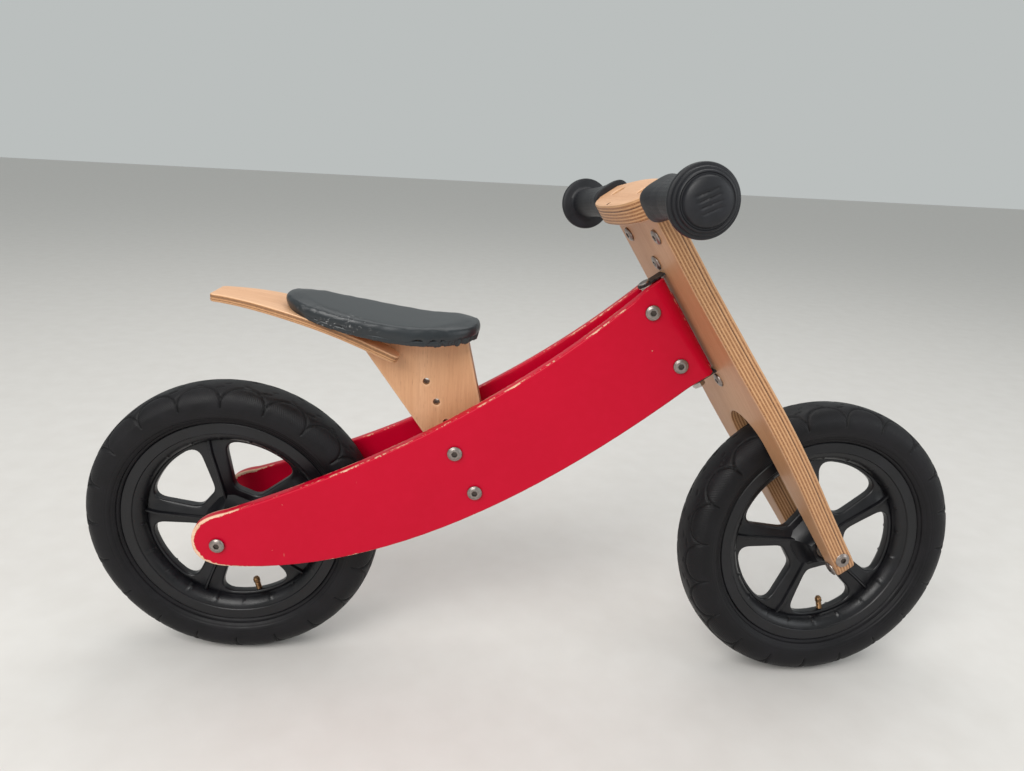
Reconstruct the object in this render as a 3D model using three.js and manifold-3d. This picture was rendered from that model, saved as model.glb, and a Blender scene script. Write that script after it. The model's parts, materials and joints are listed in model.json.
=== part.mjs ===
// A child's wooden balance bike: two flat red plywood side panels that run together
// towards the head, a plywood seat post with a padded saddle, a thick plywood fork board
// that turns on a bolt in the nose of the frame, and two five-spoke plastic wheels with
// pneumatic tyres.  Millimetres, +X forward, +Y to the rider's left, +Z up.
import * as THREE from 'three';
import { mergeVertices } from 'three/addons/utils/BufferGeometryUtils.js';
import Module from 'manifold-3d';

const wasm = await Module();
wasm.setup();

// ---- driving dimensions ------------------------------------------------------------
const WHEELBASE = 615.7;
const HEAD_ANGLE = 56.6;          // steering axis, degrees above the ground
const STEER_AT_REST = 9.7;        // the front stands turned this far to the left
const GAP = 0.3;                  // between pieces that touch

// wheels
const TYRE_RADIUS = 150;
const TYRE_HALF_WIDTH = 26;
const TYRE_WALL = 3.6;
const RIM_RADIUS = 112;           // flange tip
const RIM_HALF_WIDTH = 18;
const FLANGE = 2.8;
const BEAD_RADIUS = 103;
const WELL_RADIUS = 98;
const WEB_RADIUS = 90;            // inner wall of the rim, where the spokes start
const WEB_HALF = 6;
const SPOKES = 5;
const SPOKE_AT_HUB = 10;          // half widths of a spoke
const SPOKE_AT_RIM = 14;
const RIDGE_HEIGHT = 6;
const HUB_RADIUS = 22;
const HUB_HALF = 28;
const TUBE_WALL = 1.6;
const VALVE_RADIUS = 3;
const VALVE_LENGTH = 19;
const BEARING = { outer: 11, bore: 4, width: 7 };
const SIDES = 32;                 // facets of a wheel
const FRONT_SPIN = -2;            // a spoke's angle, degrees
const REAR_SPIN = 31;

// side panels
const PANEL_THICKNESS = 12;
const AXLE_HALF_SPAN = 58.5;      // outer face of a panel at the rear axle
const HEAD_HALF_SPAN = 15.9;      // and where the steering axis leaves the nose; the panels run together
// edges of a panel between its ends: shares of the wheelbase, heights over the rear axle
const PANEL_TOP_EDGE = [[0.536, 190], [0.3248, 100]];
const PANEL_BOTTOM_EDGE = [[0.2274, -34], [0.4743, 32]];
const PANEL_ROUND = 27;           // radius of its rear end
const NOSE_RADIUS = 19;           // the nose is round about the steering axis
const NOSE_ARC = 80;              // degrees of it each side of straight ahead
const NOSE_BOTTOM = TYRE_RADIUS + 79;     // heights on the steering axis, from the front axle
const NOSE_TOP = NOSE_BOTTOM + 108;
const NOSE_FLAT = 10;              // both ends of the nose are square to the axis this far behind it
const NOSE_RIM = 3.5;              // the upper edge stands over the flat end by this
const HEAD_BLOCK_LENGTH = 62;
const HEAD_BLOCK_INSET = 4;
const HEAD_BOLTS = [[-7.4, NOSE_TOP - 20.5], [-8.3, NOSE_BOTTOM + 25.8]];   // behind the axis, height on it

// fork board and handlebar
const FORK_THICKNESS = 20;
const FORK_CLEARANCE = 1.2;       // between the nose and the fork
const AXLE_SETBACK = 9.3;         // rear face of the fork to the axle
const FORK_TOP = NOSE_TOP + 65.2;
const FORK_FOOT = 20;
const SLOT_HALF = TYRE_HALF_WIDTH + 6;
const SLOT_TOP = TYRE_RADIUS + 23;
const FORK_HALF_WIDTH = 62;       // of the fork at its top
const BAR_THICKNESS = 21;
const BAR_BEHIND = 28.5;           // reach of the handlebar board behind and ahead of the fork
const BAR_AHEAD = 21;
const BAR_HALF_SPAN = 176;
const GRIP_START = 72;
const GRIP_SWEEP = 7;             // the handles run back this far at their ends
const ARM_RADIUS = 10.5;
const GRIP_RADIUS = 15.5;
const GRIP_ROOT_RADIUS = 18;
const GRIP_FLANGE_RADIUS = 28;
const BAR_BOLT_SPACING = 39;      // each side of the middle
const BARREL_NUT_HEIGHT = FORK_TOP - 21.2;
const LEG_BOLT = { across: 42, height: -13 };

// steering brackets
const BRACKET_THICKNESS = 1.8;
const BRACKET_HALF_WIDTH = 7.5;
const BRACKET_BOLT_HEIGHTS = [NOSE_TOP + 14, NOSE_BOTTOM - 15];
const BRACKET_END = 15;           // metal beyond the bolt
const PIVOT_RADIUS = 3.8;
const BUSH_RADIUS = 5.6;
const BUSH_FLANGE = { radius: 7, thickness: 0.8 };
const BUSH_LENGTH = 13;

// seat
const SEAT_PLATE_THICKNESS = 18;
const HOLE_PITCH = 23.45;
const HOLE_TILT = 63.65;            // the row of holes leans back, degrees above the ground
const SEAT_FOOT_SHARE = 0.4052;      // lowest hole: share of the wheelbase, height over the rear axle
const SEAT_FOOT_RISE = 56.5;
const SEAT_HOLES = 6;
const TAIL_THICKNESS = 7.6;
const TAIL_HALF_WIDTH = 35;
const SADDLE_BOARD = 5;
const SADDLE_PAD = 9.5;
const SADDLE = { behindFoot: 93.5, halfLength: 93, halfWidth: 47, lift: 26 };
const SADDLE_RISE = 151;          // underside of the saddle board at its lowest, over the lowest hole

// flat-headed furniture bolts and their sleeve nuts
const HEAD_RADIUS = 7.4;
const HEAD_THICKNESS = 2.6;
const SOCKET = { radius: 2.6, depth: 1.6 };
const FRAME_BOLT = { shank: 3, sleeve: 4.2, hole: 4.6 };
const AXLE_BOLT = { shank: 3.85, sleeve: 5.2, hole: 5.6 };
const SLEEVE_LENGTH = 16;
const HEAD_SLEEVE = 11;           // short, because the steering bolt passes between the panels

const rad = THREE.MathUtils.degToRad;

// ---- materials ---------------------------------------------------------------------
const paint = (color, roughness, metalness = 0) =>
  new THREE.MeshStandardMaterial({ color, roughness, metalness });
const RED = paint(0xc4052f, 0.42);
const PLY = paint(0xd9a873, 0.62);
const RUBBER = paint(0x26272c, 0.85);
const RIM_PLASTIC = paint(0x1c1d22, 0.5);
const GRIP_RUBBER = paint(0x25262b, 0.7);
const VINYL = paint(0x24262a, 0.5);
const NICKEL = paint(0xb9b6b0, 0.3, 1);
const DARK_STEEL = paint(0x3a3a3d, 0.45, 1);
const BRASS = paint(0x9a7b55, 0.4, 1);
const NYLON = paint(0xd8d8d2, 0.55);

// ---- solids ------------------------------------------------------------------------
function solid(geometry) {
  const bare = geometry.clone();
  bare.deleteAttribute('normal');
  bare.deleteAttribute('uv');
  const welded = mergeVertices(bare, 1e-4);
  return new wasm.Manifold(new wasm.Mesh({
    numProp: 3,
    vertProperties: new Float32Array(welded.attributes.position.array),
    triVerts: new Uint32Array(welded.index.array),
  }));
}

function geometryOf(manifold) {
  const mesh = manifold.getMesh();
  const geometry = new THREE.BufferGeometry();
  geometry.setAttribute('position', new THREE.BufferAttribute(new Float32Array(mesh.vertProperties), 3));
  geometry.setIndex(new THREE.BufferAttribute(new Uint32Array(mesh.triVerts), 1));
  return geometry;
}

const cut = (body, ...tools) =>
  geometryOf(tools.reduce((rest, tool) => rest.subtract(solid(tool)), solid(body)));
const join = (...pieces) =>
  geometryOf(pieces.slice(1).reduce((sum, piece) => sum.add(solid(piece)), solid(pieces[0])));
const keep = (body, tool) => geometryOf(solid(body).intersect(solid(tool)));

// a turned piece: [radius, height] pairs from the axis back to the axis, spun about Z
function turned(profile, sides = 16) {
  const points = profile.map(([r, z]) => new THREE.Vector2(r, z));
  const lathe = new THREE.LatheGeometry(points, sides);
  return lathe.rotateX(Math.PI / 2);
}

// the same profile laid along +Y
const alongY = (geometry) => geometry.rotateX(-Math.PI / 2);
const alongX = (geometry) => geometry.rotateY(Math.PI / 2);

function rod(radius, from, to, sides = 16) {
  return turned([[0, from], [radius, from], [radius, to], [0, to]], sides);
}

function tube(outer, bore, from, to, sides = 20) {
  return turned([[bore, from], [outer, from], [outer, to], [bore, to], [bore, from]], sides);
}

const block = (x0, x1, y0, y1, z0, z1) => new THREE.BoxGeometry(x1 - x0, y1 - y0, z1 - z0)
  .translate((x0 + x1) / 2, (y0 + y1) / 2, (z0 + z1) / 2);

// an outline in X and Z, made thick from y0 to y1
function slab(shape, y0, y1, curveSegments = 12) {
  const plate = new THREE.ExtrudeGeometry(shape, { depth: y1 - y0, bevelEnabled: false, curveSegments });
  return plate.rotateX(Math.PI / 2).translate(0, y1, 0);
}

// an outline in Y and Z, made thick from x0 to x1
function board(shape, x0, x1, curveSegments = 10) {
  const plate = new THREE.ExtrudeGeometry(shape, { depth: x1 - x0, bevelEnabled: false, curveSegments });
  const stand = new THREE.Matrix4().makeBasis(
    new THREE.Vector3(0, 1, 0), new THREE.Vector3(0, 0, 1), new THREE.Vector3(1, 0, 0));
  return plate.applyMatrix4(stand).translate(x0, 0, 0);
}

function add(parent, name, geometry, material) {
  const mesh = new THREE.Mesh(geometry, material);
  mesh.name = name;
  parent.add(mesh);
  return mesh;
}

// ---- fasteners, along +Z with the underside of the head at z = 0 ---------------------
function flatBolt(bolt, length) {
  const body = turned([[0, length], [bolt.shank, length], [bolt.shank, 0], [HEAD_RADIUS, 0],
    [HEAD_RADIUS - 0.8, -HEAD_THICKNESS], [0, -HEAD_THICKNESS]].reverse());
  const socket = rod(SOCKET.radius, -HEAD_THICKNESS - 1, SOCKET.depth - HEAD_THICKNESS, 6);
  return cut(body, socket);
}

function sleeveNut(bolt, length = SLEEVE_LENGTH) {
  const body = turned([[0, length], [bolt.sleeve, length], [bolt.sleeve, 0], [HEAD_RADIUS, 0],
    [HEAD_RADIUS - 0.8, -HEAD_THICKNESS], [0, -HEAD_THICKNESS]].reverse());
  return cut(body, rod(bolt.shank + GAP, -HEAD_THICKNESS + 1, length + 1));
}

const hexNut = (radius, hole, from, to) => cut(rod(radius, from, to, 6), rod(hole, from - 1, to + 1));

// a bolt from the right (-Y) side and its nut from the left, both across the bike
function crossBolt(parent, name, bolt, x, z, right, left, sleeve = SLEEVE_LENGTH) {
  const screw = add(parent, `${name}_bolt`, alongY(flatBolt(bolt, right + left - 4)), NICKEL);
  screw.position.set(x, -right, z);
  const nut = add(parent, `${name}_nut`, alongY(sleeveNut(bolt, sleeve)).rotateZ(Math.PI), NICKEL);
  nut.position.set(x, left, z);
}

const bore = (radius, x, z, y0, y1) => alongY(rod(radius, y0, y1)).translate(x, 0, z);

// ---- wheels: built about the Y axis ------------------------------------------------
const ring = (profile, sides = SIDES) => alongY(turned(profile, sides));

function tyre() {
  const w = TYRE_HALF_WIDTH;
  const t = TYRE_WALL;
  const mouth = RIM_HALF_WIDTH - FLANGE - GAP;      // fits between the flanges
  const outer = [[TYRE_RADIUS, 0], [TYRE_RADIUS - 1, w * 0.4], [TYRE_RADIUS - 4.5, w * 0.71],
    [TYRE_RADIUS - 11, w * 0.92], [TYRE_RADIUS - 20, w], [TYRE_RADIUS - 29, w * 0.94],
    [RIM_RADIUS + 2, RIM_HALF_WIDTH + 1], [RIM_RADIUS + GAP, RIM_HALF_WIDTH - 1],
    [RIM_RADIUS + GAP, mouth], [BEAD_RADIUS + GAP, mouth]];
  const inner = [[BEAD_RADIUS + GAP, mouth - 4], [RIM_RADIUS - 2, mouth - 3], [TYRE_RADIUS - 28, w - t - 0.5],
    [TYRE_RADIUS - 18, w - t], [TYRE_RADIUS - t - 2, w * 0.5], [TYRE_RADIUS - t, 0]];
  const half = [...outer, ...inner];
  const mirrored = half.slice(1, -1).map(([r, y]) => [r, -y]).reverse();
  const loop = [...half, ...mirrored, half[0]];
  return ring(loop);
}

function innerTube() {
  const middle = (RIM_RADIUS + TYRE_RADIUS) / 2 - 4.5;
  const high = 17;
  const wide = TYRE_HALF_WIDTH - TYRE_WALL - 4.5;
  const slit = 0.35;                                // the tube is open along a line at the rim
  const steps = 7;
  const arc = (shrink, i) => {
    const angle = Math.PI + slit + (2 * Math.PI - 2 * slit) * i / steps;
    return [middle + (high - shrink) * Math.cos(angle), (wide - shrink) * Math.sin(angle)];
  };
  const outside = Array.from({ length: steps + 1 }, (_, i) => arc(0, i));
  const inside = Array.from({ length: steps + 1 }, (_, i) => arc(TUBE_WALL, steps - i));
  return ring([...outside, ...inside, outside[0]]);
}

function rimRing() {
  const w = RIM_HALF_WIDTH;
  const half = [[WELL_RADIUS, 0], [WELL_RADIUS, 7], [BEAD_RADIUS, 9.5], [BEAD_RADIUS, w - FLANGE],
    [RIM_RADIUS, w - FLANGE], [RIM_RADIUS, w - 1], [RIM_RADIUS - 1, w], [BEAD_RADIUS - 3, w],
    [BEAD_RADIUS - 6, w - 2], [WEB_RADIUS, WEB_HALF + 1], [WEB_RADIUS, 0]];
  const mirrored = half.slice(1, -1).map(([r, y]) => [r, -y]).reverse();
  return ring([...half, ...mirrored, half[0]]);
}

// one opening between two spokes, middle on +X
function windowOutline() {
  const pitch = Math.PI / SPOKES;
  const edge = (r, half) => pitch - Math.asin(half / r);
  const outerR = WEB_RADIUS - 3;
  const innerR = HUB_RADIUS + 15;
  const outerA = edge(outerR, SPOKE_AT_RIM);
  const innerA = edge(innerR, SPOKE_AT_HUB);
  const at = (r, a) => new THREE.Vector2(r * Math.cos(a), r * Math.sin(a));
  const shape = new THREE.Path();
  const corner = (p, c, q) => {
    shape.lineTo(p.x, p.y);
    shape.quadraticCurveTo(c.x, c.y, q.x, q.y);
  };
  const start = at(outerR, 0);
  shape.moveTo(start.x, start.y);
  const toward = (p, q, d) => p.clone().lerp(q, d / p.distanceTo(q));
  const [oa, ob] = [at(outerR, outerA), at(outerR, -outerA)];
  const [ia, ib] = [at(innerR, innerA), at(innerR, -innerA)];
  corner(at(outerR, outerA - 0.16), oa, toward(oa, ia, 14));
  corner(toward(ia, oa, 8), ia, toward(ia, ib, 6));
  corner(toward(ib, ia, 6), ib, toward(ib, ob, 8));
  corner(toward(ob, ib, 14), ob, at(outerR, 0.16 - outerA));
  shape.closePath();
  return shape;
}

function rimCasting(start) {
  const disc = new THREE.Shape();
  disc.absarc(0, 0, WEB_RADIUS + 2, 0, 2 * Math.PI);
  const opening = windowOutline().getPoints(3);
  for (let i = 0; i < SPOKES; i += 1) {
    const turn = start + (2 * Math.PI * (i + 0.5)) / SPOKES;
    const points = opening.map((p) => p.clone().rotateAround(new THREE.Vector2(), turn));
    disc.holes.push(new THREE.Path(points));
  }
  const web = slab(disc, -WEB_HALF, WEB_HALF, SIDES / 2);
  const pieces = [rimRing(), web, ring([[0, -HUB_HALF], [HUB_RADIUS - 6, -HUB_HALF],
    [HUB_RADIUS, -WEB_HALF - RIDGE_HEIGHT], [HUB_RADIUS, WEB_HALF + RIDGE_HEIGHT],
    [HUB_RADIUS - 6, HUB_HALF], [0, HUB_HALF]], 20)];
  const section = new THREE.Shape();                // roof-shaped ridge on both faces of a spoke
  const [h, s] = [WEB_HALF + RIDGE_HEIGHT, 4];
  section.setFromPoints([[s, WEB_HALF - 1], [1.2, h], [-1.2, h], [-s, WEB_HALF - 1],
    [-s, 1 - WEB_HALF], [-1.2, -h], [1.2, -h], [s, 1 - WEB_HALF]].map(([a, b]) => new THREE.Vector2(a, b)));
  const ridge = new THREE.ExtrudeGeometry(section, { depth: WEB_RADIUS + 2, bevelEnabled: false });
  for (let i = 0; i < SPOKES; i += 1) {
    const spoke = ridge.clone().rotateY(Math.PI / 2).rotateX(-Math.PI / 2);
    pieces.push(spoke.rotateY(-start - (2 * Math.PI * i) / SPOKES));
  }
  const seat = BEARING.outer + GAP / 2;
  const depth = HUB_HALF - BEARING.width;
  return cut(join(...pieces), ring([[0, -HUB_HALF - 1], [seat, -HUB_HALF - 1], [seat, -depth],
    [BEARING.outer - 2.5, -depth], [BEARING.outer - 2.5, depth], [seat, depth], [seat, HUB_HALF + 1],
    [0, HUB_HALF + 1]], 20), valveAxis(rod(VALVE_RADIUS + GAP, WEB_RADIUS - 6, RIM_RADIUS, 12), start));
}

// the valve stands on the rim at the middle of the fourth opening, pointing at the hub
const VALVE_TURN = (3.5 * 2 * Math.PI) / SPOKES;
const valveAxis = (geometry, start) => alongX(geometry).rotateY(-start - VALVE_TURN);

// down is the direction of the ground, where the tyre has a corner between two facets
function wheel(parent, name, spin, down) {
  const body = new THREE.Group();
  body.rotation.y = -down;
  parent.add(body);
  const start = spin - down;
  add(body, `${name}_tyre`, tyre(), RUBBER);
  add(body, `${name}_inner_tube`, innerTube(), RUBBER);
  add(body, `${name}_rim`, rimCasting(start), RIM_PLASTIC);
  const stemFoot = WELL_RADIUS + 4;
  const stem = rod(VALVE_RADIUS, stemFoot - VALVE_LENGTH, stemFoot, 12);
  add(body, `${name}_valve_stem`, valveAxis(stem, start), BRASS);
  const cap = stemFoot - VALVE_LENGTH - GAP;
  add(body, `${name}_valve_cap`, valveAxis(rod(VALVE_RADIUS + 0.6, cap - 6, cap, 12), start), BRASS);
  for (const side of [-1, 1]) {
    const inner = HUB_HALF - BEARING.width + GAP / 2;
    const race = tube(BEARING.outer - GAP / 2, BEARING.bore, inner, inner + BEARING.width - GAP / 2);
    add(body, `${name}_bearing_${side < 0 ? 'right' : 'left'}`,
      alongY(race).rotateZ(side < 0 ? Math.PI : 0), DARK_STEEL);
  }
}

// ---- places ------------------------------------------------------------------------
const bike = new THREE.Group();
const head = rad(HEAD_ANGLE);
const steer = rad(STEER_AT_REST);
const up = new THREE.Vector3(-Math.cos(head), 0, Math.sin(head));           // steering axis
const ahead = new THREE.Vector3(Math.sin(head), 0, Math.cos(head));         // square to it, straight
const turnedAhead = ahead.clone().applyAxisAngle(up, steer);
const turnedLeft = new THREE.Vector3(0, 1, 0).applyAxisAngle(up, steer);
const noseToFork = NOSE_RADIUS + FORK_CLEARANCE;                            // axis to the fork's rear face
const trail = noseToFork + AXLE_SETBACK;                                    // axis to the front axle
const frontAxleHeight = TYRE_RADIUS * Math.sqrt(1 - turnedLeft.z ** 2);     // the turned wheel leans
const frontAxle = new THREE.Vector3(WHEELBASE, 0, frontAxleHeight);
frontAxle.y = trail * Math.sin(steer);
const pivotFoot = frontAxle.clone().addScaledVector(turnedAhead, -trail);   // the axis beside the front axle
// a point of the frame given by its distance ahead of the steering axis and its height on it
const onHead = (x, z) => pivotFoot.clone().addScaledVector(ahead, x).addScaledVector(up, z);

// a body turned into the straight steering frame: local X ahead, Z up the axis
const headMatrix = new THREE.Matrix4().makeBasis(ahead, new THREE.Vector3(0, 1, 0), up).setPosition(pivotFoot);
const atHead = (geometry) => geometry.applyMatrix4(headMatrix);

// ---- frame -------------------------------------------------------------------------
const converge = Math.atan((AXLE_HALF_SPAN - HEAD_HALF_SPAN) / onHead(0, NOSE_BOTTOM).x);
const outerFace = (x) => AXLE_HALF_SPAN - x * Math.tan(converge);           // half span at x
const innerFace = (x) => outerFace(x) - PANEL_THICKNESS / Math.cos(converge);

const noseTip = NOSE_RADIUS + 1;                                            // outline runs past, then is shaped
const noseTopCorner = onHead(noseTip, NOSE_TOP + NOSE_RIM);
const noseBottomCorner = onHead(noseTip, NOSE_BOTTOM - 1);

function panelOutline() {
  const a = new THREE.Vector2(2, TYRE_RADIUS + 4);                          // centre of the rear end
  const shape = new THREE.Shape();
  shape.moveTo(noseBottomCorner.x, noseBottomCorner.z);
  shape.lineTo(noseTopCorner.x, noseTopCorner.z);
  const [topFront, topRear] = PANEL_TOP_EDGE.map(([share, rise]) => [WHEELBASE * share, TYRE_RADIUS + rise]);
  const [lowRear, lowFront] = PANEL_BOTTOM_EDGE.map(([share, rise]) => [WHEELBASE * share, TYRE_RADIUS + rise]);
  shape.bezierCurveTo(...topFront, ...topRear, a.x + PANEL_ROUND * 0.26, a.y + PANEL_ROUND * 1.12);
  shape.bezierCurveTo(a.x - 14, a.y + 26, a.x - PANEL_ROUND, a.y + 18, a.x - PANEL_ROUND, a.y);
  shape.bezierCurveTo(a.x - PANEL_ROUND, a.y - 18, a.x - 13, a.y - PANEL_ROUND, a.x + 6, a.y - PANEL_ROUND - 1);
  const flatEnd = onHead(-NOSE_FLAT, NOSE_BOTTOM - 0.2);
  shape.bezierCurveTo(...lowRear, ...lowFront, flatEnd.x, flatEnd.z);
  return shape;
}

// everything the nose may not fill: outside the arc and the lines that carry it on,
// above and below the two square ends, and in the bore of the steering bolt
function noseTools() {
  const stop = rad(NOSE_ARC);
  const big = 80;
  const profile = [new THREE.Vector2(NOSE_RADIUS * Math.cos(stop) - big * Math.sin(stop),
    NOSE_RADIUS * Math.sin(stop) + big * Math.cos(stop))];
  const steps = 12;
  for (let i = 0; i <= steps; i += 1) {
    const a = stop * (1 - (2 * i) / steps);
    profile.push(new THREE.Vector2(NOSE_RADIUS * Math.cos(a), NOSE_RADIUS * Math.sin(a)));
  }
  profile.push(new THREE.Vector2(profile[0].x, -profile[0].y));
  profile.push(new THREE.Vector2(big, -profile[0].y), new THREE.Vector2(big, profile[0].y));
  const shape = new THREE.Shape(profile);
  const long = 200;
  const front = new THREE.ExtrudeGeometry(shape, { depth: long, bevelEnabled: false })
    .translate(0, 0, (NOSE_TOP + NOSE_BOTTOM - long) / 2);
  const topEnd = block(1 - NOSE_FLAT, big, -big, big, NOSE_TOP, NOSE_TOP + 40);
  const bottomEnd = block(1 - NOSE_FLAT, big, -big, big, NOSE_BOTTOM - 40, NOSE_BOTTOM);
  const pivotBore = rod(BUSH_RADIUS + GAP, NOSE_BOTTOM - 20, NOSE_TOP + 20, 20);
  return [front, topEnd, bottomEnd, pivotBore].map(atHead);
}

const headBoltAt = HEAD_BOLTS.map(([x, z]) => onHead(x, z));
const holeStep = new THREE.Vector2(-Math.cos(rad(HOLE_TILT)), Math.sin(rad(HOLE_TILT))).multiplyScalar(HOLE_PITCH);
const seatFoot = new THREE.Vector2(WHEELBASE * SEAT_FOOT_SHARE, TYRE_RADIUS + SEAT_FOOT_RISE);
const seatHole = (i) => seatFoot.clone().addScaledVector(holeStep, i);
const seatBoltAt = [0, 2].map(seatHole);

for (const side of [-1, 1]) {
  const name = side < 0 ? 'right_panel' : 'left_panel';
  const y = side * (AXLE_HALF_SPAN - PANEL_THICKNESS / 2);
  const plate = slab(panelOutline(), -PANEL_THICKNESS / 2, PANEL_THICKNESS / 2, 14)
    .rotateZ(-side * converge).translate(0, y, 0);
  const holes = [bore(AXLE_BOLT.hole, 0, TYRE_RADIUS, -90, 90),
    ...headBoltAt.map((p) => bore(FRAME_BOLT.hole, p.x, p.z, -90, 90)),
    ...seatBoltAt.map((p) => bore(FRAME_BOLT.hole, p.x, p.y, -90, 90))];
  add(bike, name, cut(plate, ...holes, ...noseTools()), RED);
}

// a wedge that fills the space between the panels
function wedge(x0, x1, z0, z1) {
  const half = (x) => Math.max(innerFace(x) - GAP, 0.5);
  const shape = new THREE.Shape([[x0, -half(x0)], [x1, -half(x1)], [x1, half(x1)], [x0, half(x0)]]
    .map(([x, y]) => new THREE.Vector2(x, y)));
  return new THREE.ExtrudeGeometry(shape, { depth: z1 - z0, bevelEnabled: false }).translate(0, 0, z0);
}

{
  const low = onHead(noseTip, NOSE_BOTTOM).z - 30;
  const body = wedge(onHead(-HEAD_BLOCK_LENGTH, NOSE_TOP).x - 20, noseBottomCorner.x + 12, low, noseTopCorner.z + 10);
  const outline = atHead(block(-HEAD_BLOCK_LENGTH, noseTip, -60, 60, NOSE_BOTTOM + HEAD_BLOCK_INSET,
    NOSE_TOP - HEAD_BLOCK_INSET - 14));
  add(bike, 'head_block', cut(keep(body, outline),
    ...headBoltAt.map((p) => bore(FRAME_BOLT.hole, p.x, p.z, -90, 90)), ...noseTools()), RED);
}

HEAD_BOLTS.forEach((_, i) => {
  const p = headBoltAt[i];
  const reach = outerFace(p.x - HEAD_RADIUS) + GAP;
  crossBolt(bike, `head_${['upper', 'lower'][i]}`, FRAME_BOLT, p.x, p.z, reach, reach, HEAD_SLEEVE);
});
seatBoltAt.forEach((p, i) => {
  const reach = outerFace(p.x - HEAD_RADIUS) + GAP;
  crossBolt(bike, `seat_${['lower', 'upper'][i]}`, FRAME_BOLT, p.x, p.y, reach, reach);
});
crossBolt(bike, 'rear_axle', AXLE_BOLT, 0, TYRE_RADIUS, outerFace(-HEAD_RADIUS) + GAP,
  outerFace(-HEAD_RADIUS) + GAP);

// ---- seat post, its spacers, tail board and saddle ------------------------------------
const saddleMiddle = seatFoot.x - SADDLE.behindFoot;
const saddleUnder = (x) => {                       // underside of the saddle board
  const u = (x - (saddleMiddle + 42)) / (SADDLE.halfLength * 1.45);
  return seatFoot.y + SADDLE_RISE + SADDLE.lift * Math.abs(u) ** 1.6 * (u < 0 ? 1 : 0.8);
};

{
  const half = SEAT_PLATE_THICKNESS / 2;
  const foot = seatHole(0);
  const shape = new THREE.Shape();
  const frontTop = foot.x - 13.5;
  const rearTop = foot.x - 127.5;
  shape.moveTo(foot.x + 20, foot.y - 12);
  shape.lineTo(foot.x + 2.5, foot.y + 82.5);
  shape.lineTo(frontTop, saddleUnder(frontTop) - GAP);
  for (let x = frontTop - 19; x > rearTop; x -= 19) shape.lineTo(x, saddleUnder(x) - GAP);
  shape.lineTo(rearTop, saddleUnder(rearTop) - GAP);
  shape.quadraticCurveTo(foot.x - 115.5, foot.y + 134.5, foot.x - 97.5, foot.y + 113.5);
  shape.lineTo(foot.x - 26, foot.y + 10);
  shape.quadraticCurveTo(foot.x - 14, foot.y - 20, foot.x + 6, foot.y - 20);
  shape.quadraticCurveTo(foot.x + 18, foot.y - 20, foot.x + 20, foot.y - 12);
  const holes = Array.from({ length: SEAT_HOLES }, (_, i) =>
    bore(i === 0 || i === 2 ? FRAME_BOLT.hole : 3.4, seatHole(i).x, seatHole(i).y, -90, 90));
  const slot = tailBody(GAP);
  add(bike, 'seat_plate', cut(slab(shape, -half, half, 8), ...holes, slot), PLY);

  for (const side of [-1, 1]) {
    const [a, b] = seatBoltAt;
    const spread = 15;
    const mid = a.clone().add(b).multiplyScalar(0.5);
    const along = a.distanceTo(b) / 2 + spread;
    const bar = block(-spread, spread, -60, 60, -along, along).rotateY(rad(HOLE_TILT - 90)).translate(mid.x, 0, mid.y);
    const body = wedge(mid.x - 60, mid.x + 60, mid.y - 60, mid.y + 60);
    const inside = half + GAP;
    const beside = side < 0 ? block(0, 400, -80, -inside, 0, 500) : block(0, 400, inside, 80, 0, 500);
    add(bike, `seat_spacer_${side < 0 ? 'right' : 'left'}`, cut(keep(keep(body, beside), bar),
      ...seatBoltAt.map((p) => bore(FRAME_BOLT.hole, p.x, p.y, -90, 90))), PLY);
  }
}

// the bent tail board: a band along a curve in the middle plane
function tailBody(grow) {
  const fromFoot = (x, z) => new THREE.Vector2(seatFoot.x + x, seatFoot.y + z);
  const line = new THREE.QuadraticBezierCurve(fromFoot(-254.5, 178), fromFoot(-169.5, 174.5),
    fromFoot(-79.5, 126.5));
  const steps = 10;
  const side = (offset) => Array.from({ length: steps + 1 }, (_, i) => {
    const p = line.getPoint(i / steps);
    const d = line.getTangent(i / steps);
    return new THREE.Vector2(p.x - d.y * offset, p.y + d.x * offset);
  });
  const shape = new THREE.Shape([...side(-grow), ...side(TAIL_THICKNESS + grow).reverse()]);
  return slab(shape, -TAIL_HALF_WIDTH, TAIL_HALF_WIDTH);
}

{
  const wide = TAIL_HALF_WIDTH;
  const tongue = SEAT_PLATE_THICKNESS / 2 + GAP;
  const x = seatFoot.x;
  const [end, waist, slotEnd, widest] = [x - 263.5, x - 229.5, x - 115.5, x - 159.5];
  const past = x - 59.5;                           // beyond the front end of the curve
  const plan = new THREE.Shape();                  // seen from above
  plan.moveTo(end, -19);
  plan.bezierCurveTo(waist, -25, x - 199.5, -wide, widest, -wide);
  plan.lineTo(past, -wide);
  plan.lineTo(past, -tongue);
  plan.lineTo(slotEnd, -tongue);
  plan.lineTo(slotEnd, tongue);
  plan.lineTo(past, tongue);
  plan.lineTo(past, wide);
  plan.lineTo(widest, wide);
  plan.bezierCurveTo(x - 199.5, wide, waist, 25, end, 19);
  const outline = new THREE.ExtrudeGeometry(plan, { depth: 200, bevelEnabled: false, curveSegments: 8 })
    .translate(0, 0, seatFoot.y + 40);
  add(bike, 'tail_board', keep(tailBody(0), outline), PLY);
}

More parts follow.
